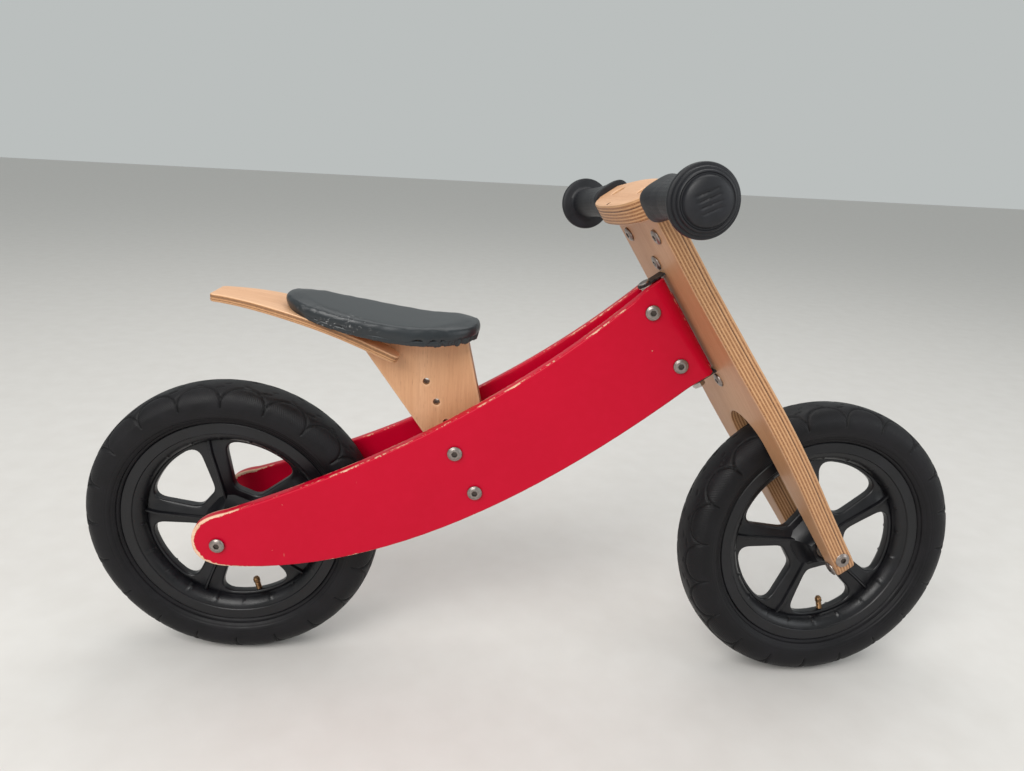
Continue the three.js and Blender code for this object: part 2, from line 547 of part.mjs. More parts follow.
// the saddle: a rounded oval plan whose surfaces follow the same dished line
function saddleSlice(lower, upper, inset) {
  const around = 28;
  const radii = 3;
  const positions = [];
  const index = [];
  const { halfLength, halfWidth } = SADDLE;
  const point = (a, share) => {
    const pow = (v) => Math.sign(v) * Math.abs(v) ** 0.8;
    return [saddleMiddle + (halfLength - inset) * share * pow(Math.cos(a)),
      (halfWidth - inset) * share * pow(Math.sin(a))];
  };
  for (const level of [lower, upper]) {
    for (let k = 0; k <= radii; k += 1) {
      for (let i = 0; i < around; i += 1) {
        const [x, y] = point((2 * Math.PI * i) / around, k / radii);
        positions.push(x, y, saddleUnder(x) + level);
        if (k === 0) break;
      }
    }
  }
  const layer = 1 + radii * around;
  const vertex = (face, k, i) => face * layer + (k === 0 ? 0 : 1 + (k - 1) * around + (i % around));
  const push = (flip, a, b, c) => index.push(...(flip ? [a, c, b] : [a, b, c]));
  for (const face of [0, 1]) {
    for (let i = 0; i < around; i += 1) {
      push(face === 0, vertex(face, 0, 0), vertex(face, 1, i), vertex(face, 1, i + 1));
      for (let k = 1; k < radii; k += 1) {
        push(face === 0, vertex(face, k, i), vertex(face, k + 1, i), vertex(face, k + 1, i + 1));
        push(face === 0, vertex(face, k, i), vertex(face, k + 1, i + 1), vertex(face, k, i + 1));
      }
    }
  }
  for (let i = 0; i < around; i += 1) {
    const [a, b, c, d] = [vertex(0, radii, i), vertex(0, radii, i + 1), vertex(1, radii, i + 1), vertex(1, radii, i)];
    index.push(a, b, c, a, c, d);
  }
  const geometry = new THREE.BufferGeometry();
  geometry.setAttribute('position', new THREE.Float32BufferAttribute(positions, 3));
  geometry.setIndex(index);
  return geometry;
}

add(bike, 'saddle_board', saddleSlice(0, SADDLE_BOARD, 4), PLY);
add(bike, 'saddle_cushion', saddleSlice(SADDLE_BOARD + GAP, SADDLE_BOARD + SADDLE_PAD, 0), VINYL);

// ---- rear wheel --------------------------------------------------------------------
const rearWheel = new THREE.Group();
rearWheel.position.set(0, 0, TYRE_RADIUS);
bike.add(rearWheel);
wheel(rearWheel, 'rear', rad(REAR_SPIN), -Math.PI / 2);

for (const side of [-1, 1]) {
  const start = HUB_HALF + GAP;
  const end = innerFace(7) - GAP;
  const spacer = alongY(tube(8, AXLE_BOLT.sleeve + GAP, start, end)).rotateZ(side < 0 ? Math.PI : 0);
  const mesh = add(bike, `rear_spacer_${side < 0 ? 'right' : 'left'}`, spacer, NICKEL);
  mesh.position.set(0, 0, TYRE_RADIUS);
}

// ---- bushes of the steering bolt, fixed in the nose ------------------------------------
for (const end of ['upper', 'lower']) {
  const flange = BUSH_FLANGE;
  const profile = [[PIVOT_RADIUS + GAP / 2, -BUSH_LENGTH], [BUSH_RADIUS, -BUSH_LENGTH], [BUSH_RADIUS, GAP],
    [flange.radius, GAP], [flange.radius, flange.thickness + GAP], [PIVOT_RADIUS + GAP / 2, flange.thickness + GAP],
    [PIVOT_RADIUS + GAP / 2, -BUSH_LENGTH]];
  const bush = turned(profile, 20);
  if (end === 'lower') bush.rotateX(Math.PI);
  bush.translate(0, 0, end === 'upper' ? NOSE_TOP : NOSE_BOTTOM);
  add(bike, `pivot_bush_${end}`, atHead(bush), NYLON);
}

// ---- steering: local X ahead, Y left, Z up the axis, origin on the axis ------------------
const steering = new THREE.Group();
steering.applyMatrix4(new THREE.Matrix4().makeBasis(turnedAhead, turnedLeft, up).setPosition(pivotFoot));
bike.add(steering);

const forkBack = noseToFork;
const forkFront = forkBack + FORK_THICKNESS;
const forkMiddle = (forkBack + forkFront) / 2;
const earTop = NOSE_TOP + BUSH_FLANGE.thickness + 2 * GAP;                  // underside of the upper ear
const earBottom = NOSE_BOTTOM - BUSH_FLANGE.thickness - 2 * GAP;            // upper side of the lower ear

function forkOutline() {
  const shape = new THREE.Shape();
  const foot = -FORK_FOOT;
  const right = [[FORK_HALF_WIDTH, FORK_TOP], [FORK_HALF_WIDTH, NOSE_TOP - 17], [69, NOSE_BOTTOM + 16],
    [76, SLOT_TOP + 7], [74, SLOT_TOP - 53], [65, 60], [58, 10]];
  shape.moveTo(-right[0][0], FORK_TOP);
  shape.lineTo(right[0][0], FORK_TOP);
  shape.splineThru(right.slice(1).map(([y, z]) => new THREE.Vector2(y, z)));
  shape.quadraticCurveTo(55, foot, 47, foot);
  shape.lineTo(SLOT_HALF + 4, foot);
  shape.quadraticCurveTo(SLOT_HALF, foot, SLOT_HALF, foot + 4);
  shape.lineTo(SLOT_HALF, SLOT_TOP - SLOT_HALF);
  shape.absarc(0, SLOT_TOP - SLOT_HALF, SLOT_HALF, 0, Math.PI);
  shape.lineTo(-SLOT_HALF, foot + 4);
  shape.quadraticCurveTo(-SLOT_HALF, foot, -SLOT_HALF - 4, foot);
  shape.lineTo(-47, foot);
  shape.quadraticCurveTo(-55, foot, -58, 10);
  shape.splineThru(right.slice(1, -1).reverse().map(([y, z]) => new THREE.Vector2(-y, z)));
  shape.lineTo(-right[0][0], FORK_TOP);
  return shape;
}

const throughFork = (radius, y, z) => alongX(rod(radius, forkBack - 5, forkFront + 5)).translate(0, y, z);
const legSeat = 56.5;                                                       // spot face for the axle bolt
{
  const w = BRACKET_HALF_WIDTH + GAP;
  const slots = [block(0, 90, -w, w, earTop - GAP, earTop + BRACKET_THICKNESS + GAP),
    block(0, 90, -w, w, earBottom - BRACKET_THICKNESS - GAP, earBottom + GAP)];
  const holes = BRACKET_BOLT_HEIGHTS.map((z) => throughFork(FRAME_BOLT.hole, 0, z));
  for (const side of [-1, 1]) {
    holes.push(throughFork(FRAME_BOLT.hole, side * BAR_BOLT_SPACING, BARREL_NUT_HEIGHT));
    holes.push(throughFork(3.6, side * LEG_BOLT.across, LEG_BOLT.height));
    holes.push(rod(FRAME_BOLT.shank + GAP, BARREL_NUT_HEIGHT - 9, FORK_TOP + 9)
      .translate(forkMiddle, side * BAR_BOLT_SPACING, 0));
  }
  const axle = alongY(turned([[0, -90], [HEAD_RADIUS + 1, -90], [HEAD_RADIUS + 1, -legSeat],
    [AXLE_BOLT.hole, -legSeat], [AXLE_BOLT.hole, legSeat], [HEAD_RADIUS + 1, legSeat],
    [HEAD_RADIUS + 1, 90], [0, 90]])).translate(trail, 0, 0);
  add(steering, 'fork_board', cut(board(forkOutline(), forkBack, forkFront, 5), ...slots, ...holes, axle), PLY);
}

// ---- handlebar board and grips -------------------------------------------------------
const barX = (y) => forkMiddle + 1.5 - GRIP_SWEEP * Math.max(0, Math.abs(y) - GRIP_START) / (BAR_HALF_SPAN - GRIP_START);
const barLow = FORK_TOP + GAP;
const barHigh = barLow + BAR_THICKNESS;
const barMiddle = (barLow + barHigh) / 2;
const sweepAngle = Math.atan(GRIP_SWEEP / (BAR_HALF_SPAN - GRIP_START));
const gripPlace = (geometry, side) => geometry
  .rotateZ(side < 0 ? Math.PI - sweepAngle : sweepAngle)
  .translate(barX(GRIP_START), side * GRIP_START, barMiddle);

{
  const shape = new THREE.Shape();                 // seen from above: X ahead, Y left
  const root = ARM_RADIUS + 3;
  const end = GRIP_START - 4;
  const back = forkMiddle - BAR_BEHIND;
  const front = forkMiddle + BAR_AHEAD;
  shape.moveTo(barX(0) - root, -end);
  shape.bezierCurveTo(back + 4, -end * 0.8, back, -end * 0.45, back, 0);
  shape.bezierCurveTo(back, end * 0.45, back + 4, end * 0.8, barX(0) - root, end);
  shape.lineTo(barX(0) + root, end);
  shape.bezierCurveTo(front - 6, end * 0.8, front, end * 0.45, front, 0);
  shape.bezierCurveTo(front, -end * 0.45, front - 6, -end * 0.8, barX(0) + root, -end);
  const plate = new THREE.ExtrudeGeometry(shape, { depth: BAR_THICKNESS, bevelEnabled: false, curveSegments: 6 })
    .translate(0, 0, barLow);
  const armLength = (BAR_HALF_SPAN - GRIP_START) / Math.cos(sweepAngle);
  const arms = [-1, 1].map((side) => gripPlace(alongY(rod(ARM_RADIUS - 0.05, -12, armLength)), side));
  const screws = [-1, 1].flatMap((side) => [
    rod(FRAME_BOLT.shank + GAP, barLow - 5, barHigh + 5),
    rod(6.6, barHigh - 5, barHigh + 5),
  ].map((hole) => hole.translate(forkMiddle, side * BAR_BOLT_SPACING, 0)));
  add(steering, 'handlebar_board', cut(join(plate, ...arms), ...screws), PLY);

  for (const side of [-1, 1]) {
    const suffix = side < 0 ? 'right' : 'left';
    const r = ARM_RADIUS + GAP;
    const profile = [[0, armLength + GAP], [r, armLength + GAP], [r, 0], [GRIP_ROOT_RADIUS, 0],
      [GRIP_ROOT_RADIUS, 5], [GRIP_RADIUS, 9], [GRIP_RADIUS, armLength - 12], [GRIP_FLANGE_RADIUS - 1, armLength - 9],
      [GRIP_FLANGE_RADIUS, armLength - 6], [GRIP_FLANGE_RADIUS - 1, armLength - 2],
      [GRIP_FLANGE_RADIUS - 5, armLength + 3], [10, armLength + 7], [0, armLength + 8]];
    add(steering, `grip_${suffix}`, gripPlace(alongY(turned(profile, 24)), side), GRIP_RUBBER);

    const boltHead = turned([[0, 4], [6, 4], [6, 0], [FRAME_BOLT.shank, 0], [FRAME_BOLT.shank, -BAR_THICKNESS - 12],
      [0, -BAR_THICKNESS - 12]].reverse());
    const socket = rod(SOCKET.radius, 2, 5, 6);
    const bolt = add(steering, `bar_bolt_${suffix}`, cut(boltHead, socket), NICKEL);
    bolt.position.set(forkMiddle, side * BAR_BOLT_SPACING, barHigh - 5 + GAP);

    const barrel = cut(flatBolt({ shank: FRAME_BOLT.sleeve }, FORK_THICKNESS - 2),
      alongX(rod(FRAME_BOLT.shank + GAP, -20, 20)).translate(0, 0, FORK_THICKNESS / 2));
    const nut = add(steering, `barrel_nut_${suffix}`, barrel, NICKEL);
    nut.rotation.y = Math.PI / 2;
    nut.position.set(forkBack - GAP, side * BAR_BOLT_SPACING, BARREL_NUT_HEIGHT);

    const tie = add(steering, `leg_bolt_${suffix}`, flatBolt({ shank: 3.2 }, FORK_THICKNESS - 1), NICKEL);
    tie.rotation.y = Math.PI / 2;
    tie.position.set(forkBack - GAP, side * LEG_BOLT.across, LEG_BOLT.height);
  }
}

// ---- steering brackets, their bolts, and the steering bolt ---------------------------------
['upper', 'lower'].forEach((end, i) => {
  const sign = end === 'upper' ? 1 : -1;
  const earNear = end === 'upper' ? earTop : earBottom;                     // face towards the nose
  const t = BRACKET_THICKNESS;
  const legBack = forkFront + GAP;
  const boltAt = BRACKET_BOLT_HEIGHTS[i];
  const plan = new THREE.Shape();
  const w = BRACKET_HALF_WIDTH;
  plan.moveTo(0, w);
  plan.absarc(0, 0, w, Math.PI / 2, -Math.PI / 2);
  plan.lineTo(legBack + t, -w);
  plan.lineTo(legBack + t, w);
  const ear = new THREE.ExtrudeGeometry(plan, { depth: t, bevelEnabled: false, curveSegments: 8 })
    .translate(0, 0, sign > 0 ? earNear : earNear - t);
  const legEnd = boltAt + sign * BRACKET_END;
  const leg = block(legBack, legBack + t, -w, w, Math.min(earNear, legEnd), Math.max(earNear, legEnd));
  const bracket = cut(join(ear, leg), rod(PIVOT_RADIUS + GAP, earNear - 9, earNear + 9),
    alongX(rod(FRAME_BOLT.shank + GAP, forkBack, forkFront + 20)).translate(0, 0, boltAt));
  add(steering, `steering_bracket_${end}`, bracket, DARK_STEEL);

  const bolt = add(steering, `bracket_bolt_${end}`, flatBolt(FRAME_BOLT, FORK_THICKNESS + t + 9), NICKEL);
  bolt.rotation.y = Math.PI / 2;
  bolt.position.set(forkBack - GAP, 0, boltAt);
  const nut = hexNut(5.6, FRAME_BOLT.shank + GAP, 0, 5);
  const nutMesh = add(steering, `bracket_nut_${end}`, alongX(nut), NICKEL);
  nutMesh.position.set(legBack + t + GAP, 0, boltAt);
});

{
  const top = earTop + BRACKET_THICKNESS + GAP;
  const bottom = earBottom - BRACKET_THICKNESS - GAP;
  const profile = [[0, bottom - 6], [PIVOT_RADIUS - GAP / 2, bottom - 6], [PIVOT_RADIUS - GAP / 2, top], [5.8, top],
    [5.8, top + 0.8], [5.1, top + 1.4], [0, top + 1.4]];
  add(steering, 'steering_bolt', turned(profile, 20), DARK_STEEL);
  add(steering, 'steering_nut', hexNut(6.6, PIVOT_RADIUS + GAP, bottom - 5, bottom), DARK_STEEL);
}

// ---- front axle and wheel ---------------------------------------------------------------
crossBolt(steering, 'front_axle', AXLE_BOLT, trail, 0, legSeat + GAP, legSeat + GAP);
for (const side of [-1, 1]) {
  const spacer = alongY(tube(8, AXLE_BOLT.sleeve + GAP, HUB_HALF + GAP, SLOT_HALF - GAP)).rotateZ(side < 0 ? Math.PI : 0);
  const mesh = add(steering, `front_spacer_${side < 0 ? 'right' : 'left'}`, spacer, NICKEL);
  mesh.position.set(trail, 0, 0);
}
const frontWheel = new THREE.Group();
frontWheel.position.set(trail, 0, 0);
steering.add(frontWheel);
wheel(frontWheel, 'front', rad(FRONT_SPIN), Math.atan2(-up.z, -turnedAhead.z));

// ---- the origin: on the ground, below the middle of the whole bike ------------------------
const group = new THREE.Group();
group.add(bike);
group.updateMatrixWorld(true);
const box = new THREE.Box3().setFromObject(group, true);
const centre = box.getCenter(new THREE.Vector3());
bike.position.set(-centre.x, -centre.y, -box.min.z);

export default group;
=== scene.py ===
import json

import bpy
import numpy as np
from mathutils import Matrix
from mathutils.geometry import delaunay_2d_cdt


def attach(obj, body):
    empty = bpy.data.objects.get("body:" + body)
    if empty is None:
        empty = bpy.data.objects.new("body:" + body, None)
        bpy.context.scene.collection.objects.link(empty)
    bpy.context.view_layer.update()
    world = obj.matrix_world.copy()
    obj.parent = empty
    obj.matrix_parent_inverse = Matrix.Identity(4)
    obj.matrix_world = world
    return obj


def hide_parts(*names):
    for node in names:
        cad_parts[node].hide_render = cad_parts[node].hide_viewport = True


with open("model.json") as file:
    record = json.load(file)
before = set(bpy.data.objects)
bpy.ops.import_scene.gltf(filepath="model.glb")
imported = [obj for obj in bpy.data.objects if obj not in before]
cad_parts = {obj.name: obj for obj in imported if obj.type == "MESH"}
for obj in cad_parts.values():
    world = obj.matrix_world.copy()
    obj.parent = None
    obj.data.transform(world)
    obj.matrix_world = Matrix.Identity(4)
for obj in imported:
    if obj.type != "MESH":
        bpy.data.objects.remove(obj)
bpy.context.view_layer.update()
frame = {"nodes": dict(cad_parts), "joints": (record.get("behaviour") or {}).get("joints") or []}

# ---- camera, floor and light ---------------------------------------------------------
# A plain pale floor under a pale sky, lit by one broad window to the left of the camera
# and a weaker one from the right.  The camera stands low, in front of the right side.
joints = {joint["name"]: joint for joint in frame["joints"]}
REAR_AXLE = np.array(joints["rear_wheel_spin"]["pos_m"]) * 1000
WHEEL_RADIUS = REAR_AXLE[2]
EYE_AHEAD, EYE_ASIDE, EYE_HEIGHT = 258.8, -729.7, 544.8
SENSOR, LENS = 36, 26.98

eye = REAR_AXLE + (EYE_AHEAD, EYE_ASIDE, EYE_HEIGHT - WHEEL_RADIUS)
yaw, pitch, roll = np.radians([1.84, -17.94, 3.04])
forward = np.array([np.sin(yaw) * np.cos(pitch), np.cos(yaw) * np.cos(pitch), np.sin(pitch)])
level_right = np.array([np.cos(yaw), -np.sin(yaw), 0])
level_up = np.cross(level_right, forward)
right = level_right * np.cos(roll) + level_up * np.sin(roll)
upward = level_up * np.cos(roll) - level_right * np.sin(roll)
camera = bpy.data.objects.new("camera", bpy.data.cameras.new("camera"))
bpy.context.collection.objects.link(camera)
camera.data.sensor_width = SENSOR
camera.data.lens = LENS
turn = np.stack([right, upward, -forward], axis=1)
camera.matrix_world = Matrix.Translation(eye / 1000) @ Matrix(turn.tolist()).to_4x4()
bpy.context.scene.camera = camera


def lamp(name, place, aim, size, watts, colour):
    """A square area light at place, looking at aim."""
    light = bpy.data.lights.new(name, "AREA")
    light.size = size
    light.energy = watts
    light.color = colour
    holder = bpy.data.objects.new(name, light)
    bpy.context.collection.objects.link(holder)
    back = np.array(place, float) - aim
    back /= np.linalg.norm(back)
    side = np.cross((0, 0, 1), back)
    side /= np.linalg.norm(side)
    turn = np.stack([side, np.cross(back, side), back], axis=1)
    holder.matrix_world = Matrix.Translation(place) @ Matrix(turn.tolist()).to_4x4()


lamp("window", (-1.1, -1.9, 2.1), (0, 0, 0.2), 1.7, 62, (1.0, 0.985, 0.96))
lamp("fill", (2.2, -1.0, 1.3), (0, 0, 0.2), 1.6, 16, (0.94, 0.97, 1.0))
lamp("ceiling", (0.1, 0.7, 2.6), (0, 0, 0.2), 2.2, 26, (1.0, 0.99, 0.97))
world = bpy.data.worlds.new("pale room")
world.use_nodes = True
world.node_tree.nodes["Background"].inputs["Color"].default_value = (0.80, 0.84, 0.83, 1)
world.node_tree.nodes["Background"].inputs["Strength"].default_value = 0.62
bpy.context.scene.world = world
bpy.context.scene.view_settings.view_transform = "Standard"


class Value:
    """A socket of a material; + - * and abs() on it add Math nodes."""

    def __init__(self, tree, socket):
        self.tree = tree
        self.socket = socket

    def math(self, operation, *terms, clamp=False):
        node = self.tree.nodes.new("ShaderNodeMath")
        node.operation = operation
        node.use_clamp = clamp
        for entry, term in zip(node.inputs, terms):
            if isinstance(term, Value):
                self.tree.links.new(term.socket, entry)
            else:
                entry.default_value = term
        return Value(self.tree, node.outputs[0])

    def __add__(self, other):
        return self.math("ADD", self, other)

    def __radd__(self, other):
        return self.math("ADD", other, self)

    def __sub__(self, other):
        return self.math("SUBTRACT", self, other)

    def __rsub__(self, other):
        return self.math("SUBTRACT", other, self)

    def __mul__(self, other):
        return self.math("MULTIPLY", self, other)

    def __rmul__(self, other):
        return self.math("MULTIPLY", other, self)

    def __abs__(self):
        return self.math("ABSOLUTE", self)

    def rises(self, low, high):
        """0 below low, 1 above high, straight between them (high may be the smaller)."""
        return self.math("MULTIPLY", self - low, 1 / (high - low), clamp=True)

    def wave(self, period):
        """A sine between 0 and 1 that repeats every period."""
        return self.math("SINE", self * (2 * np.pi / period)) * 0.5 + 0.5


class Finish:
    """A material: its Principled shader, and one method that adds any other node."""

    def __init__(self, name, **surface):
        self.material = bpy.data.materials.new(name)
        self.material.use_nodes = True
        self.tree = self.material.node_tree
        self.shader = self.tree.nodes["Principled BSDF"]
        self.set(**surface)

    def set(self, **sockets):
        for name, value in sockets.items():
            entry = self.shader.inputs[name.replace("_", " ")]
            if isinstance(value, Value):
                self.tree.links.new(value.socket, entry)
            elif np.size(value) == 3:
                entry.default_value = (*value, 1)
            else:
                entry.default_value = value

    def node(self, kind, settings=None, output=0, **sockets):
        """Adds a node: its settings first, then values or links for its named sockets."""
        node = self.tree.nodes.new("ShaderNode" + kind)
        for name, value in (settings or {}).items():
            if name == "stops":
                ramp = node.color_ramp.elements
                for k, (place, shade) in enumerate(value):
                    stop = ramp[k] if k < len(ramp) else ramp.new(place)
                    stop.position = place
                    stop.color = (*shade, 1)
            else:
                setattr(node, name, value)
        for name, value in sockets.items():
            wanted = name.replace("_", " ").rstrip()
            entry = next(s for s in node.inputs if s.name == wanted and s.enabled)
            if isinstance(value, Value):
                self.tree.links.new(value.socket, entry)
            else:
                entry.default_value = (*value, 1) if entry.type == "RGBA" else value
        return Value(self.tree, node.outputs[output])

    def place(self, scale=(1, 1, 1), turn=(0, 0, 0), attribute=None):
        """Object coordinates, or an attribute, turned and in millimetres times scale."""
        if attribute:
            start = self.node("Attribute", {"attribute_name": attribute}, output=1)
        else:
            start = self.node("TexCoord", output=3)
        return self.node("Mapping", Vector=start, Rotation=turn, Scale=[1000 * k for k in scale])

    def noise(self, place, size, detail=2.0, roughness=0.5, distortion=0.0):
        """Noise with lumps of about size millimetres."""
        return self.node("TexNoise", Vector=place, Scale=1 / size, Detail=detail,
                         Roughness=roughness, Distortion=distortion)

    def mix(self, amount, low, high):
        """The colour low where amount is 0 and high where it is 1."""
        return self.node("Mix", {"data_type": "RGBA"}, output=2, Factor=amount, A=low, B=high)

    def bump(self, height, depth, strength=1.0):
        """A bump of that depth in millimetres for a height from 0 to 1."""
        self.set(Normal=self.node("Bump", Height=height, Distance=depth / 1000, Strength=strength))


def shade(red, green, blue):
    """A screen colour of 0 to 255 in the renderer's linear light."""
    value = np.array([red, green, blue]) / 255
    return tuple(np.where(value < 0.04045, value / 12.92, ((value + 0.055) / 1.055) ** 2.4))


ground = Finish("pale floor", Roughness=0.55)
speckle = ground.noise(ground.place(), 40, 4)
ground.set(Base_Color=ground.mix(speckle, shade(206, 202, 198), shade(216, 213, 210)))
FLOOR_HALF = 9.0
floor_mesh = bpy.data.meshes.new("floor")
corners = [(x * FLOOR_HALF, y * FLOOR_HALF, 0) for x, y in ((-1, -1), (1, -1), (1, 1), (-1, 1))]
floor_mesh.from_pydata(corners, [], [(0, 1, 2, 3)])
floor_mesh.materials.append(ground.material)
floor = bpy.data.objects.new("floor", floor_mesh)
bpy.context.collection.objects.link(floor)

# ---- right and left side panels ------------------------------------------------------
# Two boards of 12 mm plywood cut to one curved outline, painted red and worn to pale wood along
# the edges and round the rear end.  They run together to the head, where the nose is a half round.
HEAD = np.array(joints["steering_turn"]["pos_m"]) * 1000
UP = np.array(joints["steering_turn"]["axis"])
AHEAD = np.array([UP[2], 0, -UP[0]])
SHARP_FROM = np.radians(38)


def build(name, points, faces, material, attributes=None):
    """An object from points in millimetres.  Its volume, the sum of a . (b x c) over its
    triangles, shows whether its faces point inwards, and they are then turned round."""
    points = np.asarray(points, float).reshape(-1, 3) / 1000
    groups = [np.asarray(part, int) for part in faces if len(part)]
    volume = 0
    for part in groups:
        for k in range(2, part.shape[1]):
            a, b, c = points[part[:, 0]], points[part[:, k - 1]], points[part[:, k]]
            volume += np.einsum("ij,ij->", a, np.cross(b, c))
    if volume < 0:
        groups = [part[:, ::-1] for part in groups]
    mesh = bpy.data.meshes.new(name)
    mesh.from_pydata(points.tolist(), [], [f for part in groups for f in part.tolist()])
    for label, values in (attributes or {}).items():
        values = np.asarray(values, float)
        kind = "FLOAT_VECTOR" if values.ndim == 2 else "FLOAT"
        field = mesh.attributes.new(label, kind, "POINT")
        field.data.foreach_set("vector" if values.ndim == 2 else "value", values.ravel())
    mesh.materials.append(material)
    mesh.shade_smooth()
    mesh.set_sharp_from_angle(angle=SHARP_FROM)
    thing = bpy.data.objects.new(name, mesh)
    bpy.context.collection.objects.link(thing)
    return thing


def finer(loop, step):
    """The same closed outline with points no further apart than step."""
    pieces = []
    for start, end in zip(loop, np.roll(loop, -1, axis=0)):
        count = max(1, int(np.ceil(np.linalg.norm(end - start) / step)))
        pieces.append(start + (end - start) * np.arange(count)[:, None] / count)
    return np.concatenate(pieces)


def spaces(points, loop):
    """Distance from each point to a closed outline, and whether it is inside (even-odd rule)."""
    a, b = loop, np.roll(loop, -1, axis=0)
    along = b - a
    from_a = points[:, None, :] - a
    share = np.clip((from_a * along).sum(2) / (along ** 2).sum(1), 0, 1)
    near = np.sqrt(((from_a - share[..., None] * along) ** 2).sum(2)).min(1)
    crossing = (a[:, 1] > points[:, None, 1]) != (b[:, 1] > points[:, None, 1])
    height = np.where(along[:, 1] == 0, 1e-9, along[:, 1])
    meet = a[:, 0] + (points[:, None, 1] - a[:, 1]) / height * along[:, 0]
    inside = (crossing & (points[:, None, 0] < meet)).sum(1) % 2 == 1
    return near, inside


def board(name, outline, half, rounding, place, material, holes=(), step=4.0):
    """A sheet with rounded arrises.  Rings run from face to face round every outline: at the
    angle p of the rounding they lie rounding * (1 - cos p) in from the edge and half - rounding
    + rounding * sin p from the middle.  Inside them each face is triangles on a square grid.
    place(u, v, w) gives the points; edge holds the distance to the edge, board (u, v, w)."""
    loops = []
    for k, loop in enumerate([outline, *holes]):
        loop = finer(np.asarray(loop, float), step)
        nxt = np.roll(loop, -1, axis=0)
        area = (loop[:, 0] * nxt[:, 1] - nxt[:, 0] * loop[:, 1]).sum()
        loops.append(loop if (area > 0) == (k == 0) else loop[::-1])
    angles = np.radians([0, 25, 50, 70, 90])
    insets = rounding * (1 - np.cos(angles))
    levels = half - rounding * (1 - np.sin(angles))
    insets = np.concatenate([insets[::-1], insets])
    levels = np.concatenate([-levels[::-1], levels])
    rings, faces, edge, inner, count = [], [], [], [], 0
    for loop in loops:
        along = np.roll(loop, -1, axis=0) - np.roll(loop, 1, axis=0)
        along /= np.linalg.norm(along, axis=1, keepdims=True)
        inward = np.stack([-along[:, 1], along[:, 0]], axis=1)
        size = len(loop)
        for inset, level in zip(insets, levels):
            ring = loop + inward * inset
            rings.append(np.column_stack([ring, np.full(size, level)]))
            edge.append(np.full(size, inset))
        i = np.arange(size)
        j = (i + 1) % size
        for k in range(len(levels) - 1):
            low, high = count + k * size, count + (k + 1) * size
            faces.append(np.stack([low + i, low + j, high + j, high + i], axis=1))
        inner.append((count, count + (len(levels) - 1) * size, loop + inward * rounding))
        count += size * len(levels)
    low, high = inner[0][2].min(0), inner[0][2].max(0)
    columns, lines = np.arange(low[0], high[0], step), np.arange(low[1], high[1], step)
    grid = np.stack(np.meshgrid(columns, lines), -1).reshape(-1, 2)
    grid[:, 0] += step / 2 * (np.round((grid[:, 1] - low[1]) / step) % 2)
    keep = np.ones(len(grid), bool)
    for k, (_, _, loop) in enumerate(inner):
        near, inside = spaces(grid, loop)
        keep &= (near > 0.55 * step) & (inside == (k == 0))
    grid = grid[keep]
    fixed = np.concatenate([loop for _, _, loop in inner])
    starts = np.cumsum([0] + [len(loop) for _, _, loop in inner])
    edges = [(a + i, a + (i + 1) % (b - a))
             for a, b in zip(starts, starts[1:]) for i in range(b - a)]
    flat = np.concatenate([fixed, grid])
    found = delaunay_2d_cdt([tuple(p) for p in flat], edges, [], 0, 1e-6)
    triangles = np.array([t for t in found[2] if len(t) == 3])
    back = np.array([origin[0] if origin else -1 for origin in found[3]])
    triangles = back[triangles]
    triangles = triangles[(triangles >= 0).all(1)]
    middle = flat[triangles].mean(1)
    keep = np.ones(len(triangles), bool)
    for k, (_, _, loop) in enumerate(inner):
        keep &= spaces(middle, loop)[1] == (k == 0)
    triangles = triangles[keep]
    far = np.full(len(grid), 1e9)
    for loop in loops:
        far = np.minimum(far, spaces(grid, loop)[0])
    for which, level in ((0, -half), (1, half)):
        index = np.concatenate([entry[which] + np.arange(len(entry[2])) for entry in inner]
                               + [count + np.arange(len(grid))])
        part = index[triangles]
        faces.append(part if which else part[:, ::-1])
        rings.append(np.column_stack([grid, np.full(len(grid), level)]))
        edge.append(far)
        count += len(grid)
    uvw = np.concatenate(rings)
    quads = [f for f in faces if f.shape[1] == 4]
    caps = [f for f in faces if f.shape[1] == 3]
    return build(name, place(*uvw.T), [np.concatenate(quads), np.concatenate(caps)], material,
                 {"edge": np.concatenate(edge), "board": uvw / 1000})


def bezier(*points, count=24):
    """A cubic Bezier curve through its first and last point, without the last."""
    t = np.arange(count)[:, None] / count
    a, b, c, d = np.array(points, float)
    return a * (1 - t) ** 3 + 3 * b * t * (1 - t) ** 2 + 3 * c * t ** 2 * (1 - t) + d * t ** 3


def layers(finish, half, sheet=1.5):
    """For a board: the mask of its cut edge, the level between its faces, a little wavy, and
    the stripes of its veneers, each sheet thick, light to dark."""
    w = finish.node("SeparateXYZ", Vector=finish.place(attribute="board"), output=2)
    wander = finish.noise(finish.place((0.02, 0.02, 0.02), attribute="board"), 1.0, 1) - 0.5
    cut = abs(w).rises(half - 0.5, half - 0.9)
    level = w + wander * 0.5
    return cut, level, level.wave(2 * sheet)


PANEL = 12.0
CONVERGE = np.radians(5.23)
AXLE_SPAN = 58.5
NOSE = 19.0
NOSE_ARC = np.radians(80)
NOSE_ENDS = (229, 337)
NOSE_FLAT, NOSE_RIM = 10, 3.5
NOSE_TIP_HALF = 4.5


